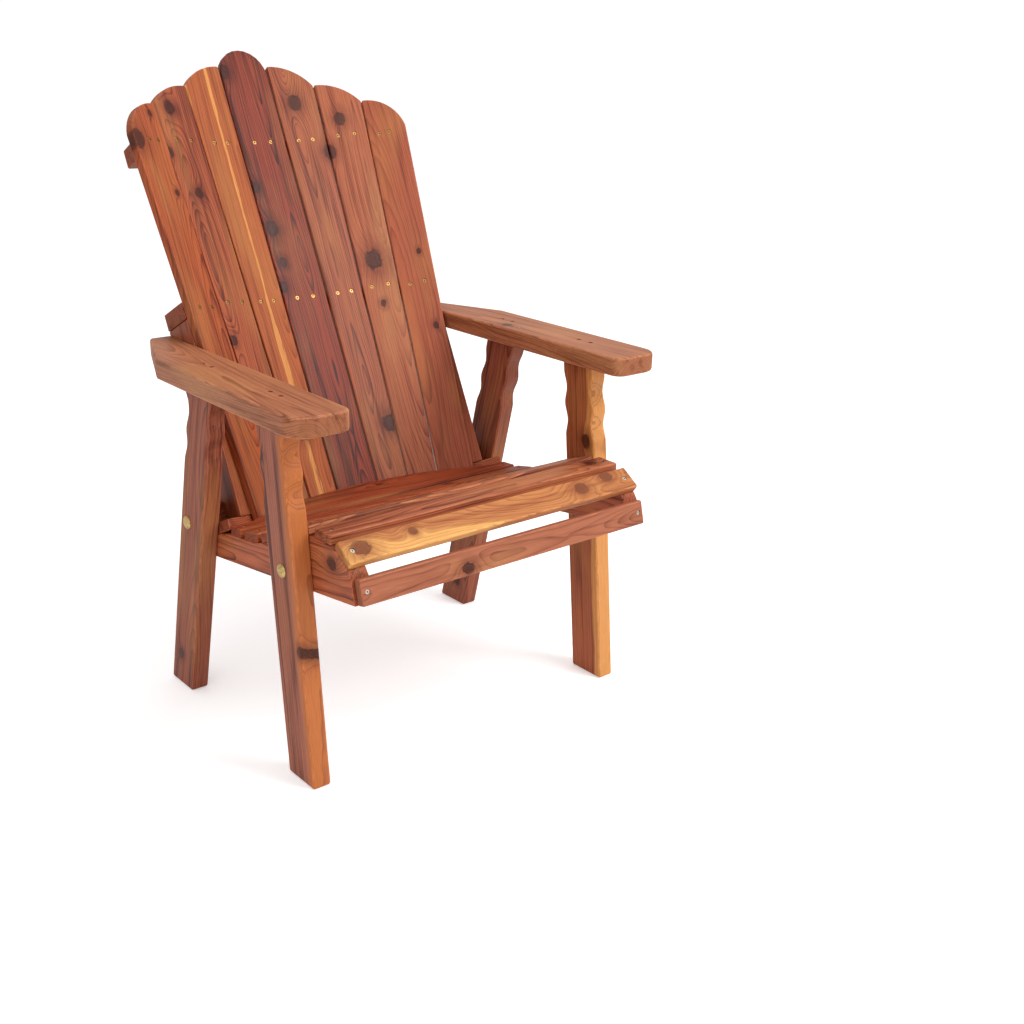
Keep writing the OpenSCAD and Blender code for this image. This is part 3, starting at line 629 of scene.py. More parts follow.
@dataclass
class Board:
    """One cedar board of the chair, made again from its CAD node with eased edges."""
    node: str
    slot: str
    ease: float
    finish: CedarFinish
    axes: BoardAxes | None = None

    def plugged(self, holes: list[tuple[Vector, Vector, float]]) -> bmesh.types.BMesh:
        """The board's plain outline, with its fastener holes filled in.

        Args:
            holes: a point on each hole's axis, its direction and its widest radius.

        Returns:
            The plain board, with coplanar faces merged.
        """
        mesh = node_mesh(self.node)
        inside = set()
        for face in mesh.faces:
            for centre, way, radius in holes:
                if all((vert.co - centre - way * (vert.co - centre).dot(way)).length < radius
                       for vert in face.verts):
                    inside.add(face)
                    break
        bmesh.ops.delete(mesh, geom=list(inside), context="FACES")
        rims = [edge for edge in mesh.edges if len(edge.link_faces) == 1]
        if rims:
            bmesh.ops.holes_fill(mesh, edges=rims, sides=0)
        bmesh.ops.recalc_face_normals(mesh, faces=mesh.faces)
        bmesh.ops.dissolve_limit(mesh, angle_limit=FLAT, verts=mesh.verts, edges=mesh.edges)
        return mesh

    def eased(self, mesh: bmesh.types.BMesh) -> None:
        """Rounds the board's edges and marks them for wear and for a painted edge highlight.

        Args:
            mesh: the plain board, which is changed.
        """
        # The mark on the rounded edges carries both real wear and a painted highlight.
        wear_and_highlight = mesh.verts.layers.float.new("wear_and_highlight")
        edges = [edge for edge in mesh.edges
                 if len(edge.link_faces) == 2 and edge.calc_face_angle(0.0) > SHARP]
        made = bmesh.ops.bevel(mesh, geom=edges, offset=self.ease, segments=EASE_SEGMENTS,
                               profile=0.5, affect="EDGES", clamp_overlap=True)
        rounded = set(made["faces"])
        for vert in mesh.verts:
            if vert.link_faces and all(face in rounded for face in vert.link_faces):
                vert[wear_and_highlight] = 1.0

    def build(self, holes: list[tuple[Vector, Vector, float]], sinks: list[Fastener],
              groups: dict[str, bpy.types.NodeTree]) -> bpy.types.Object:
        """Makes the board's mesh and dresses it.

        Args:
            holes: every fastener hole that may cross the board.
            sinks: the screws whose heads may stand in the board.
            groups: the shared node groups.

        Returns:
            The finished piece.
        """
        low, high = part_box(self.node)
        low, high = Vector(low), Vector(high)

        def near(point: Vector) -> bool:
            """Whether a point is in the board's box, or close to it."""
            return all(low[i] - BOX_MARGIN < point[i] < high[i] + BOX_MARGIN for i in range(3))

        mesh = self.plugged(holes)
        self.axes = BoardAxes.of(mesh)
        self.eased(mesh)
        bmesh.ops.remove_doubles(mesh, verts=mesh.verts, dist=SAME_PLACE)
        bmesh.ops.triangulate(mesh, faces=[face for face in mesh.faces if len(face.verts) > 4])
        data = bpy.data.meshes.new(self.node)
        mesh.to_mesh(data)
        mesh.free()
        piece = bpy.data.objects.new("board_" + self.node, data)
        bpy.context.scene.collection.objects.link(piece)
        cuts = [sink for sink in sinks if near(sink.head - sink.facing * HEAD_DEPTH)]
        if cuts:
            cutter = self.cutter(cuts)
            boolean = piece.modifiers.new("sinks", "BOOLEAN")
            boolean.operation, boolean.solver, boolean.object = "DIFFERENCE", "EXACT", cutter
            self.settle(piece)
            bpy.data.objects.remove(cutter)
        for polygon in piece.data.polygons:
            polygon.use_smooth = True
        piece.data.set_sharp_from_angle(angle=math.radians(38))
        weighted = piece.modifiers.new("weighted", "WEIGHTED_NORMAL")
        weighted.keep_sharp = True
        weighted.weight = 80
        self.settle(piece)
        piece.data.materials.clear()
        piece.data.materials.append(self.finish.material(self.node, self.axes, groups))
        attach(piece, ROOT)
        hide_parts(self.node)
        log.info("%s: %d faces, %d sinks", piece.name, len(piece.data.polygons), len(cuts))
        return piece

    @staticmethod
    def settle(piece: bpy.types.Object) -> None:
        """Turns a piece and its modifiers into a plain mesh.

        Args:
            piece: the piece, which is changed.
        """
        graph = bpy.context.evaluated_depsgraph_get()
        graph.update()
        final = bpy.data.meshes.new_from_object(piece.evaluated_get(graph), depsgraph=graph)
        piece.modifiers.clear()
        piece.data = final

    @staticmethod
    def cutter(sinks: list[Fastener]) -> bpy.types.Object:
        """Stands a short round plug where each screw's head sinks in.

        Args:
            sinks: the screws.

        Returns:
            One object of all the plugs, to be cut away and removed.
        """
        mesh = bmesh.new()
        for sink in sinks:
            in_arm = sink.facing.z > UPRIGHT and abs(sink.head.x) > ARM_REACH
            radius, depth = (Cut.ARM_SCREW if in_arm else Cut.SCREW).value
            height = depth + PLUG_PROUD
            turn = Vector((0, 0, 1)).rotation_difference(sink.facing).to_matrix().to_4x4()
            place = Matrix.Translation(sink.head + sink.facing * (PLUG_PROUD - depth) / 2) @ turn
            bmesh.ops.create_cone(mesh, cap_ends=True, segments=24, radius1=radius, radius2=radius,
                                  depth=height, matrix=place)
        data = bpy.data.meshes.new("plugs")
        mesh.to_mesh(data)
        mesh.free()
        made = bpy.data.objects.new("plugs", data)
        bpy.context.scene.collection.objects.link(made)
        return made


# ---- fasteners ----

# Height of a tool that cuts right through a fastener
BORE = 50.0 * MM


class Fixing(Enum):
    """The kinds of fastener that the chair is put together with."""
    SCREW = "wood_screw"
    BOLT = "domed_bolt"
    WASHER = "washer"
    NUT = "hex_nut"


@dataclass(frozen=True)
class PlatedFinish:
    """Plated steel: its clean colour, its tarnish and how rough it is."""
    clean: tuple[int, int, int]
    tarnish: tuple[int, int, int]
    rough: float

    def material(self, name: str, group: bpy.types.NodeTree) -> bpy.types.Material:
        """The plated metal's material.

        Args:
            name: the finish's name.
            group: the shared plating group.

        Returns:
            The material.
        """
        made = bpy.data.materials.new(name)
        made.use_nodes = True
        made.node_tree.nodes.clear()
        s = Sheet(made.node_tree)
        coords = s.put("ShaderNodeTexCoord")
        node = s.put("ShaderNodeGroup", node_tree=group)
        s.feed(node.inputs["Place"], coords.outputs["Object"])
        node.inputs["Clean"].default_value = linear(self.clean)
        node.inputs["Tarnish"].default_value = linear(self.tarnish)
        node.inputs["Rough"].default_value = self.rough
        shader = s.put("ShaderNodeBsdfPrincipled")
        shader.inputs["Metallic"].default_value = 1.0
        s.feed(shader.inputs["Base Color"], node.outputs["Colour"])
        s.feed(shader.inputs["Roughness"], node.outputs["Roughness"])
        bump = s.put("ShaderNodeBump")
        bump.inputs["Strength"].default_value = 0.2
        bump.inputs["Distance"].default_value = 0.0002
        s.feed(bump.inputs["Height"], node.outputs["Height"])
        s.feed(shader.inputs["Normal"], bump.outputs[0])
        surface = s.put("ShaderNodeOutputMaterial")
        s.feed(surface.inputs["Surface"], shader.outputs[0])
        return made


def plating_group() -> bpy.types.NodeTree:
    """The group that tarnishes and scratches plated steel.

    Returns:
        The group, which gives the metal's colour, roughness and height.
    """
    tree, s, inp, out = shared_group(
        "Plating Wear",
        {"Place": (0.0, 0.0, 0.0), "Clean": (0.8, 0.6, 0.3, 1.0),
         "Tarnish": (0.3, 0.2, 0.1, 1.0), "Rough": 0.3},
        {"Colour": "Color", "Roughness": "Float", "Height": "Float"})
    blotch = s.noise(inp.outputs["Place"], (260.0, 260.0, 260.0), 3.0, 0.6)
    fine = s.noise(inp.outputs["Place"], (2600.0, 900.0, 2600.0), 2.0, 0.5)
    dull = s.ramp(blotch, 0.5, 0.72)
    tarnished = s.sum("MULTIPLY", dull, 0.6)
    s.feed(out.inputs["Colour"], s.tint(tarnished, inp.outputs["Clean"], inp.outputs["Tarnish"]))
    rough = s.sum("ADD", inp.outputs["Rough"], s.sum("MULTIPLY", dull, 0.22))
    s.feed(out.inputs["Roughness"], s.sum("ADD", rough, s.sum("MULTIPLY", fine, 0.08), clamp=True))
    s.feed(out.inputs["Height"], fine)
    return tree


class FixingTree:
    """A Geometry Nodes tree that stands one fastener on each point."""

    def __init__(self, kind: Fixing) -> None:
        """Builds the tree for one kind of fastener.

        Args:
            kind: which fastener it makes.
        """
        self.tree = bpy.data.node_groups.new(kind.value, "GeometryNodeTree")
        face = self.tree.interface
        face.new_socket(name="Points", in_out="INPUT", socket_type="NodeSocketGeometry")
        self.ids = {}
        for label, value in (("Head Diameter", 9.0 * MM), ("Shank Diameter", 4.5 * MM),
                             ("Head Height", 2.3 * MM), ("Length", 40.0 * MM)):
            socket = face.new_socket(name=label, in_out="INPUT", socket_type="NodeSocketFloat")
            socket.default_value = value
            self.ids[label] = socket.identifier
        socket = face.new_socket(name="Metal", in_out="INPUT", socket_type="NodeSocketMaterial")
        self.ids["Metal"] = socket.identifier
        face.new_socket(name="Pieces", in_out="OUTPUT", socket_type="NodeSocketGeometry")
        self.s = Sheet(self.tree)
        self.inp = self.s.put("NodeGroupInput")
        shape = {Fixing.SCREW: self.screw, Fixing.BOLT: self.bolt,
                 Fixing.WASHER: self.washer, Fixing.NUT: self.nut}[kind]()
        self.stand(shape)

    def half(self, label: str) -> Socket:
        """Half of one of the tree's sizes."""
        return self.s.sum("MULTIPLY", self.inp.outputs[label], 0.5)

    def tube(self, radius: Feed, depth: Feed, corners: int, lift: Feed = 0.0,
             radius_low: Feed = None) -> Socket:
        """A closed cylinder or cone.

        Args:
            radius: its radius, or a cone's upper radius.
            depth: its height.
            corners: sides round it.
            lift: height of its lower end above the point.
            radius_low: a cone's lower radius.

        Returns:
            The mesh socket.
        """
        node = self.s.put("GeometryNodeMeshCone")
        node.inputs["Vertices"].default_value = corners
        self.s.feed(node.inputs["Radius Top"], radius)
        self.s.feed(node.inputs["Radius Bottom"], radius if radius_low is None else radius_low)
        self.s.feed(node.inputs["Depth"], depth)
        move = self.s.put("GeometryNodeTransform")
        rise = self.s.put("ShaderNodeCombineXYZ")
        self.s.feed(rise.inputs[2], lift)
        self.s.feed(move.inputs["Translation"], rise.outputs[0])
        self.s.feed(move.inputs["Geometry"], node.outputs["Mesh"])
        return move.outputs[0]

    def carve(self, body: Socket, tool: Socket) -> Socket:
        """Cuts one shape out of another.

        Args:
            body: what is cut.
            tool: what is taken away.

        Returns:
            The cut shape's socket.
        """
        node = self.s.put("GeometryNodeMeshBoolean", operation="DIFFERENCE", solver="EXACT")
        self.s.feed(node.inputs["Mesh 1"], body)
        self.s.feed(node.inputs["Mesh 2"], tool)
        return node.outputs["Mesh"]

    def screw(self) -> Socket:
        """A countersunk screw with a six-sided recess, hanging below the point.

        Returns:
            The screw's socket.
        """
        out = self.inp.outputs
        down = self.s.sum("MULTIPLY", out["Head Height"], -1.0)
        shank_radius = self.half("Shank Diameter")
        head = self.tube(self.half("Head Diameter"), out["Head Height"], 20, down, shank_radius)
        drive = self.tube(self.s.sum("MULTIPLY", out["Head Diameter"], 0.27), 3.0 * MM, 6, -1.4 * MM,
                          self.s.sum("MULTIPLY", out["Head Diameter"], 0.2))
        head = self.carve(head, drive)
        low = self.s.sum("MULTIPLY", out["Length"], -1.0)
        run = self.s.sum("SUBTRACT", out["Length"], out["Head Height"])
        shank = self.tube(shank_radius, run, 12, low)
        return self.together(head, shank)

    def bolt(self) -> Socket:
        """A domed bolt whose dome ends at the point, with its shaft below.

        Returns:
            The bolt's socket.
        """
        out = self.inp.outputs
        ball = self.s.put("GeometryNodeMeshUVSphere")
        ball.inputs["Segments"].default_value = 40
        ball.inputs["Rings"].default_value = 28
        self.s.feed(ball.inputs["Radius"], self.half("Head Diameter"))
        squash = self.s.put("GeometryNodeTransform")
        scale = self.s.put("ShaderNodeCombineXYZ")
        scale.inputs[0].default_value = 1.0
        scale.inputs[1].default_value = 1.0
        self.s.feed(scale.inputs[2], self.s.sum("DIVIDE", out["Head Height"], self.half("Head Diameter")))
        self.s.feed(squash.inputs["Scale"], scale.outputs[0])
        self.s.feed(squash.inputs["Geometry"], ball.outputs["Mesh"])
        below = self.tube(out["Head Diameter"], BORE, 8, -BORE)
        cap = self.carve(squash.outputs[0], below)
        drop = self.s.put("GeometryNodeTransform")
        down = self.s.put("ShaderNodeCombineXYZ")
        self.s.feed(down.inputs[2], self.s.sum("MULTIPLY", out["Head Height"], -1.0))
        self.s.feed(drop.inputs["Translation"], down.outputs[0])
        self.s.feed(drop.inputs["Geometry"], cap)
        shaft = self.tube(self.half("Shank Diameter"),
                          self.s.sum("SUBTRACT", out["Length"], out["Head Height"]),
                          20, self.s.sum("MULTIPLY", out["Length"], -1.0))
        return self.together(drop.outputs[0], shaft)

    def ring(self, corners: int) -> Socket:
        """A flat ring with its outer face at the point.

        Args:
            corners: sides round its outer edge.

        Returns:
            The ring's socket.
        """
        out = self.inp.outputs
        low = self.s.sum("MULTIPLY", out["Head Height"], -1.0)
        body = self.tube(self.half("Head Diameter"), out["Head Height"], corners, low)
        bore = self.tube(self.half("Shank Diameter"), BORE, 24, -BORE / 2)
        return self.carve(body, bore)

    def washer(self) -> Socket:
        """A round washer."""
        return self.ring(40)

    def nut(self) -> Socket:
        """A six-sided nut."""
        return self.ring(6)

    def together(self, *shapes: Socket) -> Socket:
        """Joins shapes without merging them.

        Args:
            shapes: the shapes' sockets.

        Returns:
            The joined shape's socket.
        """
        node = self.s.put("GeometryNodeJoinGeometry")
        for shape in shapes:
            self.s.tree.links.new(shape, node.inputs[0])
        return node.outputs[0]

    def stand(self, shape: Socket) -> None:
        """Stands the shape on each point, turned by the point's own direction.

        Args:
            shape: one fastener's socket.
        """
        s = self.s
        facing = s.put("GeometryNodeInputNamedAttribute", data_type="FLOAT_VECTOR")
        facing.inputs["Name"].default_value = "facing"
        turn = s.put("FunctionNodeAlignRotationToVector", axis="Z")
        s.feed(turn.inputs["Vector"], facing.outputs[0])
        place = s.put("GeometryNodeInstanceOnPoints")
        s.feed(place.inputs["Points"], self.inp.outputs["Points"])
        s.feed(place.inputs["Instance"], shape)
        s.feed(place.inputs["Rotation"], turn.outputs[0])
        real = s.put("GeometryNodeRealizeInstances")
        s.feed(real.inputs[0], place.outputs[0])
        smooth = s.put("GeometryNodeSetShadeSmooth")
        s.feed(smooth.inputs["Geometry"], real.outputs[0])
        metal = s.put("GeometryNodeSetMaterial")
        s.feed(metal.inputs["Geometry"], smooth.outputs[0])
        s.feed(metal.inputs["Material"], self.inp.outputs["Metal"])
        end = s.put("NodeGroupOutput")
        s.feed(end.inputs[0], metal.outputs[0])


@dataclass
class FixingSet:
    """The fasteners of one CAD node."""
    node: str
    kind: Fixing
    slot: str
    head: float
    shank: float
    height: float
    sunk: float = 0.0

    def build(self, trees: dict[Fixing, FixingTree], metal: bpy.types.Material) -> bpy.types.Object:
        """Stands a fastener on each point and makes the result a plain mesh.

        Args:
            trees: the tree for each kind.
            metal: the plated metal.

        Returns:
            The finished piece.
        """
        spots = fasteners(self.node, sideways=self.kind is not Fixing.SCREW)
        data = bpy.data.meshes.new(self.node)
        data.from_pydata([spot.head - spot.facing * self.sunk for spot in spots], [], [])
        facing = data.attributes.new("facing", "FLOAT_VECTOR", "POINT")
        facing.data.foreach_set("vector", [value for spot in spots for value in spot.facing])
        piece = bpy.data.objects.new("fixing_" + self.node, data)
        bpy.context.scene.collection.objects.link(piece)
        tree = trees[self.kind]
        modifier = piece.modifiers.new("fixings", "NODES")
        modifier.node_group = tree.tree
        for label, value in (("Head Diameter", self.head), ("Shank Diameter", self.shank),
                             ("Head Height", self.height), ("Length", spots[0].length - self.sunk)):
            modifier[tree.ids[label]] = value
        modifier[tree.ids["Metal"]] = metal
        Board.settle(piece)
        piece.data.set_sharp_from_angle(angle=math.radians(30))
        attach(piece, ROOT)
        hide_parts(self.node)
        log.info("%s: %d fasteners, %d faces", piece.name, len(spots), len(piece.data.polygons))
        return piece


# ---- the chair's boards and their cedar ----

RED = CedarFinish()
TAN = replace(RED, heart=(170, 106, 72), dark=(112, 58, 36), sap=(206, 146, 92), figure=0.8)
PURPLE = replace(RED, heart=(136, 72, 54), dark=(78, 32, 26), sap=(192, 122, 72), figure=1.15)
GOLD = replace(RED, heart=(184, 118, 68), dark=(132, 64, 34), sap=(216, 158, 90), figure=0.85)


@dataclass
class SideFrame:
    """One side of the chair: an arm on two scalloped legs."""
    side: str
    leg_ease: float = 4.5 * MM
    arm_ease: float = 5.0 * MM

    def boards(self) -> list[Board]:
        """The side's three boards, each with its own cedar.

        Returns:
            The boards, legs first.
        """
        right = self.side == "right"
        front = replace(PURPLE, seed=3, pith=(-70.0, 18.0), sap_from=101.0, wander=10.0, ring=3.2,
                        heart=(170, 100, 76), sap=(184, 106, 56),
                        knots=(Knot(232, 34, 8), Knot(540, -30, 7)))
        if not right:
            front = replace(RED, seed=5, pith=(-64.0, -10.0), sap_from=88.0, wander=12.0, ring=3.4,
                            heart=(172, 94, 58), sap=(206, 140, 78), knots=(Knot(455, 18, 11),))
        rear = replace(RED, seed=7 if right else 8, pith=(30.0, -50.0), wander=22.0,
                       heart=(156, 86, 62), dark=(96, 44, 30),
                       knots=(Knot(70, -6, 9),) if right else (Knot(58, 8, 9), Knot(380, -18, 7)))
        arm = replace(TAN, seed=11 if right else 12, pith=(18.0, -30.0), wander=20.0,
                      knots=() if right else (Knot(330, 24, 8),))
        return [
            Board("leg_front_" + self.side, "cedar_legs", self.leg_ease, front),
            Board("leg_rear_" + self.side, "cedar_legs", self.leg_ease, rear),
            Board("arm_" + self.side, "cedar_arms", self.arm_ease, arm)]


@dataclass
class SeatAssembly:
    """The low sloping seat: two rails, the apron, the nose slat and the slats."""
    rail_ease: float = 2.5 * MM
    slat_ease: float = 3.2 * MM
    nose_ease: float = 3.6 * MM

    def boards(self) -> list[Board]:
        """The seat's boards and their cedar.

        Returns:
            The boards: rails, apron, nose slat, then the slats to the rear.
        """
        made = []
        for side, seed in (("right", 21), ("left", 22)):
            rail = replace(RED, seed=seed, pith=(-30.0, 34.0), wander=16.0, heart=(180, 96, 62),
                           sap=(208, 138, 78), sap_from=92.0 if side == "right" else 300.0,
                           knots=(Knot(48, 10, 10),) if side == "right" else ())
            made.append(Board("seat_rail_" + side, "cedar_seat_frame", self.rail_ease, rail))
        apron = replace(TAN, seed=23, heart=(162, 96, 68), dark=(112, 54, 36), wander=24.0, ring=3.0,
                        pith=(6.0, -34.0), knots=(Knot(196, 8, 9.5),))
        nose = replace(GOLD, seed=24, knot=(112, 58, 34), pith=(20.0, -40.0), wander=30.0, sap_from=62.0,
                       knots=(Knot(34, 0, 14), Knot(132, 6, 7), Knot(482, 2, 12), Knot(548, 14, 12)))
        made.append(Board("seat_apron", "cedar_seat_frame", self.slat_ease, apron))
        made.append(Board("seat_nose_slat", "cedar_nose", self.nose_ease, nose))
        hearts = ((172, 98, 64), (176, 104, 66), (160, 78, 42), (168, 86, 48), (156, 70, 36))
        marks = ((Knot(560, 4, 9),), (), (Knot(120, -6, 6),), (), (Knot(420, 8, 7),))
        for number, (heart, knots) in enumerate(zip(hearts, marks), start=1):
            slat = replace(RED, seed=30 + number, heart=heart, knots=knots, wander=22.0, ring=3.3,
                           pith=(14.0 * (-1) ** number, -38.0 - 4.0 * number))
            made.append(Board("seat_slat_%d" % number, "cedar_seat_slats", self.slat_ease, slat))
        rear = replace(RED, seed=37, heart=(156, 68, 34), wander=24.0, pith=(10.0, -52.0),
                       knots=(Knot(88, -22, 9), Knot(330, 20, 5)))
        made.append(Board("seat_slat_contoured", "cedar_seat_slats", self.slat_ease, rear))
        return made


@dataclass
class BackAssembly:
    """The fan of seven slats on three crescent rails, with its two uprights."""
    slat_ease: float = 2.6 * MM
    rail_ease: float = 2.6 * MM
    below: float = 36.0

    def slats(self) -> list[CedarFinish]:
        """The seven slats' cedar.

        Returns:
            The finishes, from the sitter's right to left.
        """
        up = self.below

        def knots(*places: tuple[float, float, float]) -> tuple[Knot, ...]:
            """Knots given by their height over the seat, place across and radius."""
            return tuple(Knot(high + up, across, radius) for high, across, radius in places)

        return [
            replace(RED, seed=41, heart=(166, 82, 44), dark=(104, 40, 22), pith=(30.0, -30.0), wander=26.0,
                    knots=knots((655, -34, 14), (704, 13, 5), (561, 20, 5))),
            replace(RED, seed=42, heart=(162, 82, 50), dark=(92, 36, 26), pith=(-16.0, -26.0), wander=34.0,
                    knots=knots((721, -9, 11), (638, -38, 8), (563, 0, 9), (293, -22, 8))),
            replace(GOLD, seed=43, heart=(168, 88, 46), dark=(118, 50, 24), sap=(206, 138, 72),
                    pith=(34.0, -20.0),
                    wander=14.0, sap_from=74.0, stripe=(7.0, 4.2), knots=knots((110, 4, 13))),
            replace(PURPLE, seed=44, heart=(138, 58, 38), dark=(58, 18, 14), pith=(18.0, -18.0), wander=36.0,
                    figure=1.25, knots=knots((575, -40, 8), (495, -31, 13), (430, -27, 8), (383, -40, 9),
                                             (800, -43, 12))),
            replace(RED, seed=45, heart=(160, 86, 56), dark=(94, 40, 28), pith=(-10.0, -30.0), wander=28.0,
                    knots=knots((734, -4, 13), (632, 40, 11), (97, 12, 15))),
            replace(TAN, seed=46, heart=(168, 94, 62), dark=(108, 46, 30), pith=(22.0, -24.0), wander=26.0,
                    knots=knots((695, -9, 11), (632, -42, 11), (412, -8, 17), (326, -9, 6))),
            replace(RED, seed=47, heart=(162, 84, 56), dark=(110, 48, 32), pith=(-30.0, -50.0), wander=18.0,
                    figure=0.8, knots=knots((414, 14, 5), (264, 16, 6)))]

    def boards(self) -> list[Board]:
        """The back's boards.

        Returns:
            The boards: slats, rails, then uprights.
        """
        made = [Board("back_slat_%d" % number, "cedar_back_slats", self.slat_ease, finish)
                for number, finish in enumerate(self.slats(), start=1)]
        for name, seed in (("back_rail_lower", 51), ("back_rail_middle", 52), ("back_rail_top", 53)):
            finish = replace(RED, seed=seed, pith=(-40.0, 22.0), wander=16.0, heart=(158, 80, 48),
                             knots=(Knot(150.0 + 40 * (seed - 50), 10, 8),))
            made.append(Board(name, "cedar_back_frame", self.rail_ease, finish))
        for side, seed in (("right", 55), ("left", 56)):
            finish = replace(RED, seed=seed, pith=(24.0, -36.0), wander=18.0, heart=(154, 78, 48))
            made.append(Board("back_upright_" + side, "cedar_back_frame", self.rail_ease, finish))
        return made


@dataclass
class Hardware:
    """All the chair's plated fasteners."""
    screw_head: float = 7.4 * MM
    screw_shank: float = 4.0 * MM
    bolt_shank: float = 8.0 * MM
    dome: tuple[float, float] = (24.0 * MM, 5.0 * MM)
    washer: tuple[float, float] = (22.0 * MM, 1.6 * MM)
    nut: tuple[float, float] = (15.0 * MM, 6.5 * MM)
    brass: PlatedFinish = PlatedFinish((206, 176, 116), (110, 80, 48), 0.26)
    zinc: PlatedFinish = PlatedFinish((226, 222, 210), (150, 140, 124), 0.3)
    # Painted shade: the screws' plating is darkened to stand in for the shade in their sunk holes, on top of
    # some real dulling.
    dulled_and_shaded: PlatedFinish = PlatedFinish((150, 116, 72), (70, 48, 34), 0.42)
    shaded_brass: PlatedFinish = PlatedFinish((172, 134, 80), (84, 56, 34), 0.36)

    def sets(self) -> list[FixingSet]:
        """Every set of fasteners on the chair.

        Returns:
            The sets: screws, then bolts with their washers and nuts.
        """
        cone = (self.screw_head - self.screw_shank) / 2
        made = []
        for name in SCREW_NODES:
            sunk = 2.4 * MM if name == "arm_screws" else 1.3 * MM
            made.append(FixingSet(name, Fixing.SCREW, "plated_screws",
                                  self.screw_head, self.screw_shank, cone, sunk))
        for name in ("leg", "arm"):
            for ending, kind, (wide, high) in (("_bolts", Fixing.BOLT, self.dome),
                                               ("_bolt_washers", Fixing.WASHER, self.washer),
                                               ("_bolt_nuts", Fixing.NUT, self.nut)):
                made.append(FixingSet(name + ending, kind, "plated_bolts", wide, self.bolt_shank, high))
        return made

    def build(self) -> list[bpy.types.Object]:
        """Builds every set in its own metal.

        Returns:
            The finished pieces.
        """
        group = plating_group()
        metals = {name: finish.material(name + "_plating", group)
                  for name, finish in (("brass", self.brass), ("zinc", self.zinc),
                                       ("dulled_and_shaded", self.dulled_and_shaded), ("shaded_brass", self.shaded_brass))}
        trees = {kind: FixingTree(kind) for kind in Fixing}
        made = []
        for item in self.sets():
            # Screws get plating darkened as painted shade for their sunk holes.
            metal = metals["shaded_brass" if item.kind is Fixing.SCREW else "brass"]
            if item.node == "arm_screws":
                metal = metals["dulled_and_shaded"]
            elif item.kind in (Fixing.WASHER, Fixing.NUT) or item.node == "seat_slat_screws":
                metal = metals["zinc"]
            made.append(item.build(trees, metal))
        return made


# ---- studio ----

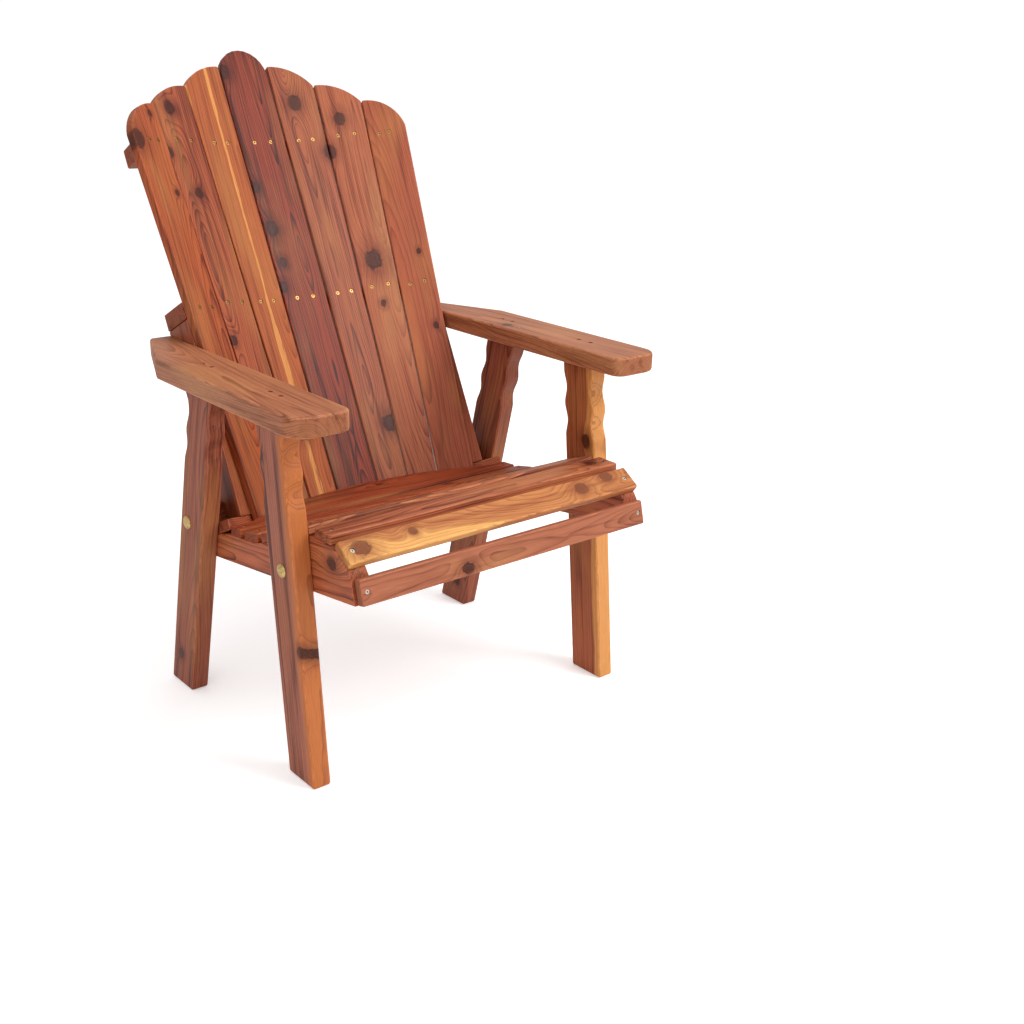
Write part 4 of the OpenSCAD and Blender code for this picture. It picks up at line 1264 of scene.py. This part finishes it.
@dataclass
class Studio:
    """The camera, the soft lights and the plain pale floor."""
    azimuth: float = -40.38
    elevation: float = 20.31
    roll: float = 1.38
    distance: float = 2.3658
    target: tuple[float, float, float] = (0.1942, -0.1851, 0.3181)
    lens: float = 45.0
    floor_size: float = 60.0

    def axes(self) -> tuple[Vector, Vector, Vector]:
        """The camera's directions.

        Returns:
            Its right, up and backward directions.
        """
        turn, rise = math.radians(self.azimuth), math.radians(self.elevation)
        back = Vector((math.sin(turn) * math.cos(rise), -math.cos(turn) * math.cos(rise), math.sin(rise)))
        right = (-back).cross(Vector((0, 0, 1))).normalized()
        up = right.cross(-back).normalized()
        c, s = math.cos(math.radians(self.roll)), math.sin(math.radians(self.roll))
        return c * right + s * up, -s * right + c * up, back

    def camera(self) -> None:
        """Stands the camera and makes it the scene's own."""
        right, up, back = self.axes()
        data = bpy.data.cameras.new("camera")
        data.lens, data.sensor_width, data.clip_end = self.lens, 36.0, 200.0
        made = bpy.data.objects.new("camera", data)
        bpy.context.scene.collection.objects.link(made)
        turn = Matrix((right, up, back)).transposed().to_4x4()
        made.matrix_world = Matrix.Translation(Vector(self.target) + back * self.distance) @ turn
        bpy.context.scene.camera = made

    def lamp(self, name: str, place: tuple[float, float, float], size: float, power: float) -> None:
        """One soft square lamp that faces the chair.

        Args:
            name: the lamp's name.
            place: where it stands.
            size: its side.
            power: in watts.
        """
        data = bpy.data.lights.new(name, "AREA")
        data.shape, data.size, data.energy = "SQUARE", size, power
        made = bpy.data.objects.new(name, data)
        bpy.context.scene.collection.objects.link(made)
        aim = Vector((0.0, 0.0, 0.5)) - Vector(place)
        made.matrix_world = Matrix.Translation(place) @ aim.to_track_quat("-Z", "Y").to_matrix().to_4x4()

    def floor(self) -> None:
        """The pale floor, which fades into the pale room."""
        mesh = bmesh.new()
        bmesh.ops.create_grid(mesh, x_segments=2, y_segments=2, size=self.floor_size / 2)
        data = bpy.data.meshes.new("floor")
        mesh.to_mesh(data)
        mesh.free()
        made = bpy.data.objects.new("floor", data)
        bpy.context.scene.collection.objects.link(made)
        paint = bpy.data.materials.new("pale_floor")
        paint.use_nodes = True
        shader = paint.node_tree.nodes["Principled BSDF"]
        shader.inputs["Base Color"].default_value = (0.93, 0.93, 0.93, 1.0)
        shader.inputs["Roughness"].default_value = 0.9
        shader.inputs["Emission Color"].default_value = (1.0, 1.0, 1.0, 1.0)
        s = Sheet(paint.node_tree)
        seen = s.put("ShaderNodeLightPath").outputs["Is Camera Ray"]
        s.feed(shader.inputs["Emission Strength"], s.sum("MULTIPLY", seen, 0.36))
        data.materials.append(paint)

    def build(self) -> None:
        """Lights the room and stands the camera."""
        bpy.context.scene.view_settings.view_transform = "Standard"
        world = bpy.data.worlds.new("pale_room")
        bpy.context.scene.world = world
        world.use_nodes = True
        sky = world.node_tree.nodes["Background"]
        sky.inputs["Color"].default_value = (1.0, 1.0, 1.0, 1.0)
        s = Sheet(world.node_tree)
        seen = s.put("ShaderNodeLightPath").outputs["Is Camera Ray"]
        s.feed(sky.inputs["Strength"], s.sum("ADD", 0.74, s.sum("MULTIPLY", seen, 0.3)))
        self.camera()
        self.lamp("key", (1.3, -2.3, 2.6), 1.5, 70.0)
        self.lamp("fill", (-2.6, -1.6, 1.6), 2.2, 10.0)
        self.lamp("top", (0.2, 0.6, 3.2), 2.4, 14.0)
        self.floor()


def hole_list() -> tuple[list[tuple[Vector, Vector, float]], list[Fastener]]:
    """Reads every fastener's hole from the frame.

    Returns:
        The holes as axis point, direction and widest radius, and the screws.
    """
    holes, sinks = [], []
    for name in SCREW_NODES:
        for item in fasteners(name):
            sinks.append(item)
            holes.append((item.head, item.facing, SCREW_REACH))
    for name in ("leg_bolts", "arm_bolts"):
        for item in fasteners(name, sideways=True):
            holes.append((item.head, item.facing, BOLT_REACH))
    return holes, sinks


def main() -> None:
    """Builds the chair, its fasteners and the studio."""
    groups = {"knot": knot_group(), "figure": figure_group(), "dressing": dressing_group()}
    holes, sinks = hole_list()
    boards = SideFrame("right").boards() + SideFrame("left").boards()
    boards += SeatAssembly().boards() + BackAssembly().boards()
    for board in boards:
        board.build(holes, sinks, groups)
    Hardware().build()
    Studio().build()
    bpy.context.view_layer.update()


if __name__ == "__main__":
    main()
